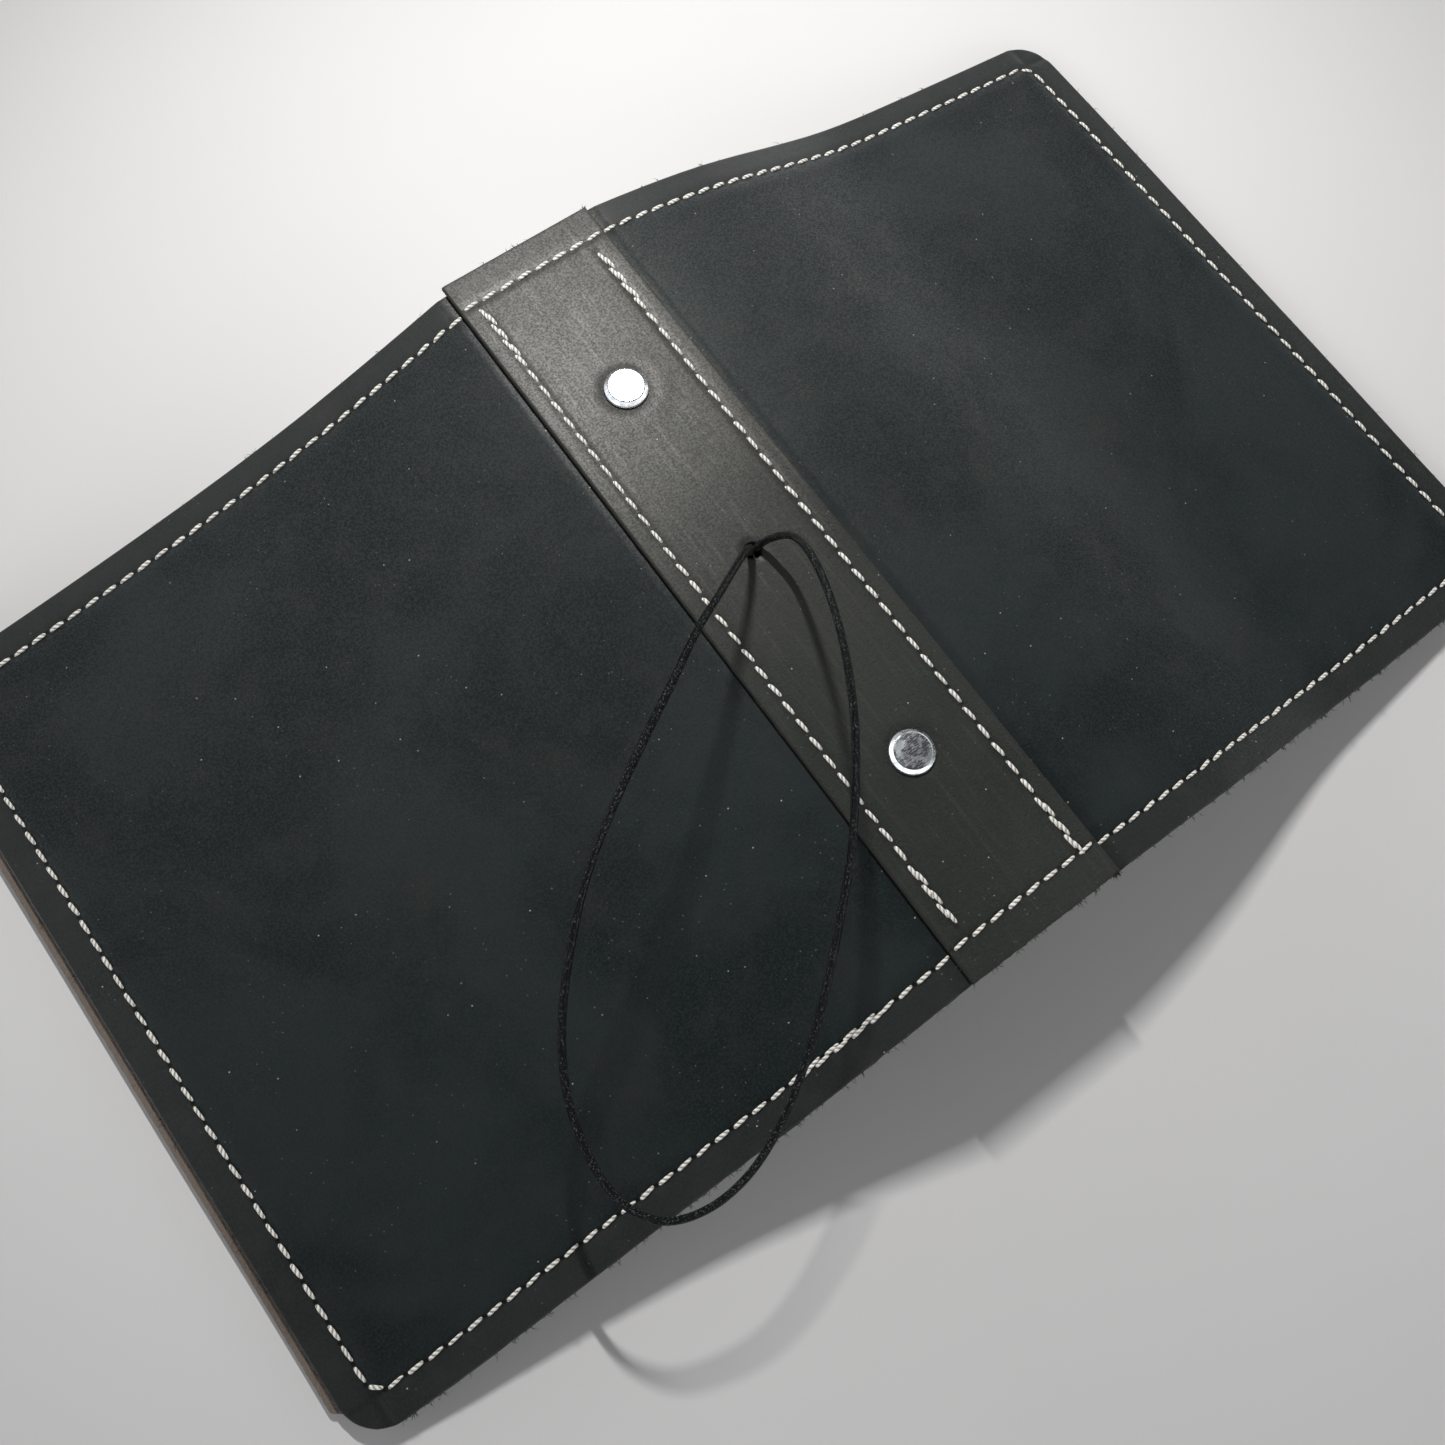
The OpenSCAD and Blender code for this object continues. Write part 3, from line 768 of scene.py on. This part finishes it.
tufts = {}
for side, curve in curves.items():
    layers = (-2.6 * half_hide, 0.6 * half_hide)
    straight = COVER_HALF - CORNER_R
    rims = gather(
        rim_roots(3 * MM, COVER_W - CORNER_R, -COVER_HALF, 1, layers, 80),
        rim_roots(3 * MM, COVER_W - CORNER_R, COVER_HALF, 1, layers, 30),
        rim_roots(-straight, straight, COVER_W, 0, layers, 60))
    tufts[side] = edge_fibres(side + "_cover_fibres", curve.place, *rims, 21)
cut_face = (-1.6 * MM, -0.4 * MM)
flat_rims = gather(
    rim_roots(-STRIP_X, STRIP_X, -STRIP_Y, 1, cut_face, 26),
    rim_roots(STRIP_X - 2 * MM, STRIP_X, -STRIP_Y, 1, (-1.8 * MM, -0.2 * MM), 14),
    rim_roots(-STRIP_X, STRIP_X, STRIP_Y, 1, cut_face, 8))
on_strip = level(STRIP_TOP)
tufts["strip"] = edge_fibres("spine_strip_fibres", on_strip, *flat_rims, 22)
print(face_counts(tufts), "faces of fibre")

# %% [markdown]
# ## Stitches
#
# The seams are sewn by hand with two plies of waxed thread: each stitch lies on the leather
# like a small twisted grain, thick in the middle and drawn down into its needle hole at both
# ends, and a little aslant. There are hundreds, so one stitch has only a few dozen faces.
# A Python loop or an Array modifier could repeat one, but here all stitches of a seam are
# one array: its first axis is the stitch, then comes the way along it, then round it.

# %% Stitches
THREAD_R = 0.56 * MM
STITCH_RISE = 0.62 * MM
STITCH_SINK = 0.42 * MM
HALF_GAP = 0.4 * MM
LOCK_ASIDE = 0.42
LOCK_ALONG = 2.2
STATIONS = 9
SIDES = 8


def stitch_mesh(name, start, end, up, seed):
    """Grains of thread from start to end points, arched along up.

    Along the way t the centre is start + (end - start) * t + up * ((1 - (2t - 1)^4) * rise -
    STITCH_SINK), and slant * (2t - 1) to the side. The radius is THREAD_R * (0.28 + 0.72 *
    (1 - |2t - 1|^3.2)^0.6), a little less towards the end. The points carry the way in mm,
    the angle and the height as strand, and each stitch has a number of its own as shade.
    """
    rolls = np.random.default_rng(seed)
    count = len(start)
    t = np.linspace(0, 1, STATIONS)[None, :, None]
    bow = 1 - (2 * t - 1) ** 4
    side = unit(np.cross(up, unit(end - start)))
    span = np.linalg.norm(end - start, axis=1)[:, None, None]
    slant = rolls.normal(0.25 * MM, 0.08 * MM, (count, 1, 1))
    rise = rolls.normal(STITCH_RISE, 0.06 * MM, (count, 1, 1))
    centre = (start[:, None] + (end - start)[:, None] * t
              + up[:, None] * (bow * rise - STITCH_SINK)
              + side[:, None] * (slant * (2 * t - 1)))
    angle = 2 * np.pi * (np.arange(SIDES) + 0.5)[None, None, :] / SIDES
    grain = 0.28 + 0.72 * (1 - np.abs(2 * t - 1) ** 3.2) ** 0.6
    radius = THREAD_R * grain * (1.06 - 0.22 * t)
    thick = rolls.normal(1.0, 0.07, (count, 1, 1))
    across = -radius * np.sin(angle) * thick
    above = -radius * np.cos(angle) * 0.85 * np.ones_like(thick)
    points = (centre[:, :, None] + across[..., None] * side[:, None, None]
              + above[..., None] * up[:, None, None])
    one = grid_faces(STATIONS, SIDES, closed=True)
    last = (STATIONS - 1) * SIDES
    caps = np.array([[k, k + 1, SIDES - 2 - k, SIDES - 1 - k] for k in range(SIDES // 2 - 1)])
    caps = np.concatenate([caps[:, ::-1], caps + last])
    first = (np.arange(count) * STATIONS * SIDES)[:, None, None]
    faces = np.concatenate([one, caps])[None] + first
    strand = np.stack(np.broadcast_arrays(t * span / MM, angle, bow), axis=-1)
    shade = np.broadcast_to(rolls.uniform(0, 1, (count, 1, 1)), across.shape)
    return make_piece(name, points.reshape(-1, 3), faces.reshape(-1, 4),
                      strand=strand.reshape(-1, 3), shade=shade.ravel())


def row_marks(start, end, count):
    """Start and end of each of count stitches between two points of the (s, y) plane."""
    t = np.arange(count)[:, None] / count
    step = (np.array(end) - start) / count
    gap = step / np.linalg.norm(step) * HALF_GAP
    first = np.array(start) + (np.array(end) - start) * t
    return first + gap, first + step - gap


def sewn_back(marks, chosen):
    """The same marks with a second strand beside the chosen ones, where a seam is locked."""
    along = unit(marks[1] - marks[0])
    beside = np.stack([-along[:, 1], along[:, 0]], axis=1)
    away = beside * chosen[:, None] * MM
    second = [(m + LOCK_ASIDE * away + along * LOCK_ALONG * MM)[chosen] for m in marks]
    return gather([m - 0.3 * away for m in marks], second)


def sewn_points(place, marks, lift):
    """Places of stitch ends and the leather's upward direction between them."""
    def at(spots, height):
        return place(spots[:, 0], spots[:, 1], height + 0 * spots[:, 0])

    middle = (marks[0] + marks[1]) / 2
    upward = unit(at(middle, lift + 0.5 * MM) - at(middle, lift))
    return at(marks[0], lift), at(marks[1], lift), upward


def two_sided(name, outer, inner, seed):
    """The same stitches on the outer and the inner face, as one piece."""
    return stitch_mesh(name, *gather(outer, inner), seed)


EDGE_S = COVER_W - STITCH_IN
TURN = 3.4 * MM
STRIP_GAP = 0.6 * MM
SUNK = 0.15 * MM
FIRST_S = STRIP_X - FOLD_X - STRIP_GAP
ROW_COUNT = 30
SIDE_COUNT = 36
threads = {}
for side, curve in curves.items():
    marks = gather(
        row_marks((FIRST_S, END_Y), (EDGE_S - TURN, END_Y), ROW_COUNT),
        row_marks((EDGE_S - TURN, END_Y), (EDGE_S, END_Y - TURN), 1),
        row_marks((EDGE_S, END_Y - TURN), (EDGE_S, TURN - END_Y), SIDE_COUNT),
        row_marks((EDGE_S, TURN - END_Y), (EDGE_S - TURN, -END_Y), 1),
        row_marks((EDGE_S - TURN, -END_Y), (FIRST_S, -END_Y), ROW_COUNT))
    from_fold = np.arange(len(marks[0]))[::-1]
    marks = sewn_back(marks, (side == "back") & (from_fold > 3) & (from_fold < 9))
    outer = sewn_points(curve.place, marks, half_hide - SUNK)
    first, last, up = sewn_points(curve.place, marks, -3 * half_hide + SUNK)
    threads[side] = two_sided(side + "_cover_stitches", outer, (first, last, -up), 11)

STRIP_COUNT = 36
END_COUNT = 8
# where each long row starts and ends along y
ROW_ENDS = {ROW_X: (END_Y - 4.5 * MM, 0.6 * MM - END_Y),
            -ROW_X: (END_Y - 1.5 * MM, 6 * MM - END_Y)}
strip_rows = []
locked = []
for row_x, (far_y, near_y) in ROW_ENDS.items():
    strip_rows.append(row_marks((row_x, far_y), (row_x, near_y), STRIP_COUNT))
    number = np.arange(STRIP_COUNT)
    locked.append((number < 3) | (number > STRIP_COUNT - 4))
for end in (END_Y, -END_Y):
    strip_rows.append(row_marks((STRIP_GAP - STRIP_X, end),
                                (STRIP_X - STRIP_GAP, end), END_COUNT))
    locked.append(np.zeros(END_COUNT, bool))
marks = sewn_back(gather(*strip_rows), np.concatenate(locked))
first, last, up = sewn_points(level(lining_low[2], -1), marks, -SUNK)
threads["strip"] = two_sided("spine_stitches", sewn_points(on_strip, marks, -SUNK),
                             (first, last, -np.abs(up)), 12)
print(face_counts(threads), "faces of thread")

# %% [markdown]
# ## Leather
#
# Waxed leather is nearly black with a blue-green cast where it is smooth, greyer and browner
# where it is rubbed, and never even. The formula works in millimetres on the stored cut
# coordinates, so the pattern bends with the hide. From large to small it adds clouds,
# blotches, a fine short-streaked grain, hairline scratches and pale specks. The needle holes
# and the creases beside the seams are painted dark as shade. On the strip the far half is
# painted lighter and browner, a painted highlight where the lamp's gloss falls. The wax is
# a thin coat of gloss in patches, a little more of it towards the far end.

# %% Leather material
# the black of painted shade in the needle holes and the creases beside the seams
PAINTED_SHADE_BLACK = colour(0.002, 0.002, 0.002)
SCUFFED = colour(0.06, 0.058, 0.05)
DUST = colour(0.42, 0.43, 0.42)


def waxed_leather(name, tones, seams, grain, rub, level, tint, wax):
    """The grain side of the hide; seams(s, y) gives masks: crease, holes, margin, fold, brown
    share.

    tones are the dark, the light, the brown and the cut edge's colour. grain scales the fine
    relief, rub the lengthwise scuffs, and wax the gloss of the coat, which has no place on
    the cut edge or at the fold. level and tint are the plain shine under it. Crease and holes
    paint shade towards black. The brown share scales the brown of wear, and on the strip it
    also paints a highlight on the far half.
    """
    board = Board(name)
    cut = board.read("cut")
    s, y, _ = board.parts(cut)
    raw = board.number("raw")
    dark, light, brown, edge = tones
    cloud = board.noise(cut, 0.018, 4, 0.55, 0.6)
    smudge = board.noise(cut, 0.03, 3, 0.6, 0.4).ramp(0.56, 0.74)
    blotch = board.noise(cut, 0.09, 5, 0.65)
    fine = board.noise(cut, 1.7, 3, 0.65)
    pebble = board.noise(board.stretch(cut, (1.5, 0.8, 1.0)), 0.75, 3, 0.6)
    hair = abs(board.noise(board.stretch(cut, (0.5, 1.7, 1)), 0.05, 3, 0.5, 0.8) - 0.47)
    scratch = (1 - hair.ramp(0.0005, 0.0025)) * board.noise(cut, 0.05, 1).ramp(0.55, 0.7)
    scuff = board.noise(board.stretch(cut, (1.3, 0.05, 1)), 0.7, 4, 0.65).ramp(0.5, 0.75) * rub
    dust = (board.specks(cut, 4.6, 0.27) * board.noise(cut, 0.11, 0).ramp(0.44, 0.54)).most(
        board.specks(cut, 2.3, 0.22) * board.noise(cut, 0.06, 0).ramp(0.45, 0.55) * 0.35)
    crease, holes, margin, fold, wear_and_highlight = seams(s, y)
    # the brown of wear; on the strip the far half gets it as a painted highlight too
    brown_wear_and_highlight = (blotch.ramp(0.48, 0.65) * 0.3 + smudge * 0.3 + margin * 0.45).least(1) * wear_and_highlight
    # the last layer paints shade: needle holes and seam creases go nearly black
    tone = board.coats(dark, (cloud.ramp(0.38, 0.62), light), (brown_wear_and_highlight, brown),
                       (fine.ramp(0.48, 0.62) * 0.7, light),
                       (scratch * 0.15 + scuff * 0.25, SCUFFED), (dust * 0.9, DUST),
                       (raw * 0.85, edge), ((holes * 0.95 + crease * 0.3).least(1), PAINTED_SHADE_BLACK))
    rough = 0.50 + blotch * 0.12 + fine * 0.10 + raw * 0.25
    height = (fine * 0.20 + pebble * 0.12) * grain + (
        blotch * 0.3 - scratch * 0.02 - holes * 0.5 - crease * 0.06 + raw * fine * 0.3)
    patches = wax * (0.2 + blotch * 0.4 + fine.ramp(0.35, 0.65) * 0.8)
    handled = (1 + scuff + margin * 0.8) * (y.ramp(-110, 120) * 1.1 + 0.4)
    shine = patches * handled * (1 - raw) * (1 - fold)
    return board.finish(tone, rough.least(1), height, Specular_IOR_Level=level,
                        Specular_Tint=tint, Coat_Weight=shine.least(1), Coat_Roughness=0.38)


SEAM_MM = EDGE_S / MM
END_MM = END_Y / MM
ROW_MM = ROW_X / MM
STRIP_MM = STRIP_X / MM
GAP_MM = STRIP_GAP / MM


def needle_hole(across, along):
    """1 within 0.3 mm of a hole, 0 beyond 0.75 mm: the root of across squared + along squared."""
    return 1 - ((across ** 2 + along ** 2) ** 0.5).ramp(0.3, 0.75)


def cover_seams(s, y):
    """Distances to the three sewn edges of a cover, as masks for crease, holes and margin."""
    end_away = abs(abs(y) - END_MM)
    side_away = abs(s - SEAM_MM)
    row_pitch = (EDGE_S - TURN - FIRST_S) / ROW_COUNT / MM
    side_pitch = 2 * (END_Y - TURN) / SIDE_COUNT / MM
    row_hole = needle_hole(end_away, (s - FIRST_S / MM).repeat(row_pitch))
    side_hole = needle_hole(side_away, (y - (END_Y - TURN) / MM).repeat(side_pitch))
    in_row = 1 - s.ramp(SEAM_MM - 3, SEAM_MM - 2)
    in_side = 1 - abs(y).ramp(END_MM - 3, END_MM - 2)
    holes = (row_hole * in_row).most(side_hole * in_side)
    crease = (1 - end_away.ramp(0.3, 1.3)).most(1 - side_away.ramp(0.3, 1.3))
    margin = s.ramp(SEAM_MM - 0.5, SEAM_MM + 0.5).most(
        abs(y).ramp(END_MM - 0.5, END_MM + 0.5))
    return crease * s.ramp(0, 1), holes, margin, 0.8 - s.ramp(0, 2) * 0.8, 1.0


def strip_seams(s, y):
    """The same masks for the strip's two long rows, its two ends and the elastic's hole.

    The far half of the strip counts as margin and as brown share: it gets more coat and is painted
    lighter and browner, a painted highlight where the lamp's gloss falls.
    """
    row_away = abs(abs(s) - ROW_MM)
    end_away = abs(abs(y) - END_MM)
    right_end = ROW_ENDS[ROW_X][0] / MM
    left_end = ROW_ENDS[-ROW_X][0] / MM
    row_pitch = right_end / STRIP_COUNT - ROW_ENDS[ROW_X][1] / STRIP_COUNT / MM
    end_pitch = 2 * (STRIP_MM - GAP_MM) / END_COUNT
    left = 1 - s.ramp(-0.5, 0.5)
    from_end = y - right_end - left * (left_end - right_end)
    row_hole = needle_hole(row_away, from_end.repeat(row_pitch))
    end_hole = needle_hole(end_away, (s + STRIP_MM - GAP_MM).repeat(end_pitch))
    in_row = 1 - abs(y).ramp(END_MM + 0.2, END_MM + 0.8)
    holes = (row_hole * in_row).most(end_hole)
    crease = ((1 - row_away.ramp(0.3, 1.2)) * in_row).most(1 - end_away.ramp(0.3, 1.2))
    # the elastic's hole joins the needle holes, so it is painted black as shade too
    opening = ((s ** 2 + (y - HOLE[1] / MM) ** 2) ** 0.5).ramp(HOLE_R / MM - 0.2, HOLE_R / MM)
    margin = abs(y).ramp(END_MM - 0.5, END_MM + 0.5)
    # painted highlight: the far half is painted lighter and browner, and gets more coat, where the
    # lamp's gloss falls
    far = y.ramp(-60, 60)
    return crease, holes.most(1 - opening), (margin + far * 0.9).least(1), 0.0, far


def no_seams(s, y):
    """The masks of a hide without stitches: only its age shows."""
    return s * 0, s * 0, s * 0, 0.0, 1.0


WHITE = colour(1, 1, 1)
cover_tones = (colour(0.0042, 0.0078, 0.0083), colour(0.0115, 0.0162, 0.0168),
               colour(0.0215, 0.0205, 0.0195), colour(0.030, 0.024, 0.020))
strip_tones = (colour(0.0045, 0.0078, 0.0080), colour(0.0110, 0.0145, 0.0145),
               colour(0.030, 0.026, 0.018), colour(0.030, 0.024, 0.020))
flesh_tones = (colour(0.122, 0.100, 0.086), colour(0.158, 0.130, 0.111),
               colour(0.150, 0.118, 0.094), colour(0.035, 0.029, 0.026))
cover_leather = waxed_leather("waxed_cover_leather", cover_tones, cover_seams, 1.0, 0.0,
                              0.10, WHITE, 0.62)
strip_leather = waxed_leather("waxed_strip_leather", strip_tones, strip_seams, 3.2, 0.9,
                              0.32, colour(1.0, 0.965, 0.87), 0.13)
flesh_leather = waxed_leather("flesh_side_leather", flesh_tones, no_seams, 2.0, 0.0,
                              0.1, WHITE, 0.02)
for side in ("front", "back"):
    hides[side].data.materials.append(cover_leather)
    hides[side + "_pocket"].data.materials.append(flesh_leather)
strip.data.materials.append(strip_leather)
for piece in tufts.values():
    piece.data.materials.append(strip_leather if piece is tufts["strip"] else cover_leather)
lining.data.materials.append(flesh_leather)
print("leather nodes:", len(cover_leather.node_tree.nodes))

# %% [markdown]
# ## Board, thread and elastic
#
# The stiffener is pressed from leather fibres, so it is plain brown with flecks. The thread
# is off-white wax over two plies: a sine of the way and the angle says whether a point of a
# stitch lies on a ply or in the groove between them, and the groove, the last stretch of
# each stitch and its ends where they dip into the holes are painted darker as shade.
# The elastic's sleeve is braided, a fine diagonal cross pattern along the cord and round it,
# with pale flecks painted on as highlights.

# %% Board, thread and elastic materials
def pressed_board():
    """Dull brown board: noise mixes two browns."""
    board = Board("pressed_leather_board")
    cut = board.read("cut")
    fleck = board.noise(cut, 0.9, 4, 0.65)
    tone = board.blend(fleck.ramp(0.35, 0.7), colour(0.09, 0.065, 0.045),
                       colour(0.19, 0.14, 0.10))
    return board.finish(tone, 0.85, fleck * 0.15)


def waxed_thread():
    """Two plies: sine of way * 4.2 + angle * 2; painted shade in the groove, on the last stretch
    and where the stitch dips into its hole.
    """
    board = Board("waxed_two_ply_thread")
    way, angle, sunk = board.parts(board.read("strand", 1))
    shade = board.number("shade")
    ply = board.math("SINE", way * 4.2 + angle * 2 + shade * 6)
    fibre = board.noise(board.here(), 4.0, 3, 0.6)
    # painted shade: the groove between the plies is dark, the last stretch of each stitch greyer,
    # and the ends that dip into the holes nearly black
    tone = board.coats(colour(0.22, 0.21, 0.19), (ply.ramp(-0.9, 0.2), colour(0.80, 0.785, 0.74)),
                       (fibre.ramp(0.45, 0.8) * 0.3, colour(0.50, 0.48, 0.43)),
                       (shade * 0.2 + way.ramp(3.0, 5.2) * 0.3, colour(0.40, 0.385, 0.35)),
                       ((1 - sunk.ramp(0.0, 0.45)) * 0.85, colour(0.04, 0.038, 0.036)))
    return board.finish(tone, 0.62, ply * 0.10 + fibre * 0.08, Sheen_Weight=0.15)


def braided_elastic():
    """Black braid: the larger of two sines of way + round and way - round; pale flecks are painted
    highlights.
    """
    board = Board("braided_elastic")
    way, angle, _ = board.parts(board.read("weave", 1))
    round_mm = angle * (LOOP_D / 2 / MM)
    one_way = board.math("SINE", (way + round_mm) * 9.0)
    other_way = board.math("SINE", (way - round_mm) * 9.0)
    braid = one_way.most(other_way)
    spot = board.here()
    # painted highlights: pale flecks on the black sleeve
    painted_glint = board.noise(spot, 2.2, 2, 0.6).ramp(0.57, 0.63)
    tone = board.coats(colour(0.001, 0.0011, 0.0012),
                       (braid.ramp(-0.2, 1.0), colour(0.006, 0.0065, 0.0068)),
                       (painted_glint * 0.5, colour(0.14, 0.14, 0.14)))
    return board.finish(tone, 0.32, braid * 0.1, Specular_IOR_Level=0.08,
                        Specular_Tint=colour(0.8, 0.92, 1.0))


thread_finish = waxed_thread()
elastic_finish = braided_elastic()
dressed = [(piece, thread_finish) for piece in threads.values()]
dressed += [(stiffener, pressed_board()), (elastic, elastic_finish), (knot, elastic_finish)]
for piece, finish in dressed:
    piece.data.materials.append(finish)
print("soft materials ready")

# %% [markdown]
# ## Metal
#
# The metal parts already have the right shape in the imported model, so they stay, and only
# their material changes. Nickel plate is a mirror with faint marks: fine scratches in one
# direction on the caps, and soft clouds on the mechanism. The blades are plain spring steel.

# %% Metal materials
def nickel_plate(name, scratches, haze):
    """A grey mirror; scratches scales its marks and stains, and haze is its least roughness."""
    board = Board(name)
    spot = board.here()
    lines = board.noise(board.stretch(spot, (0.5, 6.0, 1)), 1.1, 3, 0.6)
    cross = board.noise(board.stretch(spot, (7.0, 0.6, 1)), 0.9, 2, 0.6)
    cloud = board.noise(spot, 0.35, 3)
    stain = board.noise(spot, 0.5, 3, 0.6).ramp(0.40, 0.62) * scratches
    tone = board.coats(colour(0.72, 0.73, 0.75), (cloud, colour(0.86, 0.86, 0.87)),
                       (stain * 0.75, colour(0.42, 0.47, 0.50)))
    rough = haze + cloud * 0.08 + lines.ramp(0.5, 0.7) * 0.2 * scratches + stain * 0.15
    height = (lines * 0.012 + cross * 0.006) * scratches
    return board.finish(tone, rough, height, Metallic=1.0)


def spring_steel():
    """A duller metal with fine lines across x from the rolling."""
    board = Board("rolled_spring_steel")
    spot = board.here()
    lines = board.noise(board.stretch(spot, (8.0, 0.2, 1)), 0.8, 3, 0.6)
    tone = board.blend(lines, colour(0.42, 0.42, 0.43), colour(0.60, 0.60, 0.61))
    return board.finish(tone, 0.32 + lines * 0.15, lines * 0.01, Metallic=1.0)


cap_plate = nickel_plate("nickel_rivet_cap", 1.0, 0.12)
smooth_plate = nickel_plate("nickel_mechanism", 0.3, 0.10)
steel_finish = spring_steel()
metal_nodes = {
    cap_plate: ["far_rivet", "near_rivet", "far_rivet_foot", "near_rivet_foot"],
    smooth_plate: ["ring_cover_plate", "front_far_ring", "front_near_ring", "back_far_ring",
                   "back_near_ring", "far_lever", "near_lever"],
    steel_finish: ["front_ring_blade", "back_ring_blade"]}
for finish, names in metal_nodes.items():
    for name in names:
        for slot in frame["nodes"][name].material_slots:
            slot.material = finish
print(sum(len(n) for n in metal_nodes.values()), "metal nodes")

# %% [markdown]
# ## What rides on what
#
# Each cover's leather is one hide from under the strip to its outer edge, bent at the fold.
# It and its stitches get no body; the pockets and fibres ride on the covers, and the strip's
# pieces and the elastic on the spine.

# %% Bodies and declarations
BEND_FROM = STRIP_X
BEND_TO = 2 * FOLD_X - BEND_FROM


def declare(piece, body=None, nodes=()):
    """Attach a piece to the body that carries it and hide the CAD nodes it stands for."""
    if body:
        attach(piece, body)
    if nodes:
        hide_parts(*nodes)


for side, curve in curves.items():
    end = (curve.side * BEND_TO, 0, FOLD_Z)
    body = side + "_cover"
    hide, pocket, thread = hides[side], hides[side + "_pocket"], threads[side]
    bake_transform(hide)
    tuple(end)
    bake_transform(thread)
    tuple(end)
    declare(hide, nodes=[side + "_panel", side + "_margin"])
    declare(thread, nodes=[side + "_edge_thread"])
    declare(tufts[side], body)
    declare(pocket, body, [side + "_pocket"])
    COVER_W - MARGIN_IN
declare(strip, "spine", ["spine_strip"])
declare(stiffener, "spine", ["spine_stiffener"])
declare(lining, "spine", ["spine_lining"])
declare(tufts["strip"], "spine")
declare(threads["strip"], "spine",
        ["front_row_thread", "back_row_thread", "far_end_thread", "near_end_thread"])
declare(elastic, "spine", ["elastic_loop"])
declare(knot, "spine", ["elastic_knot"])
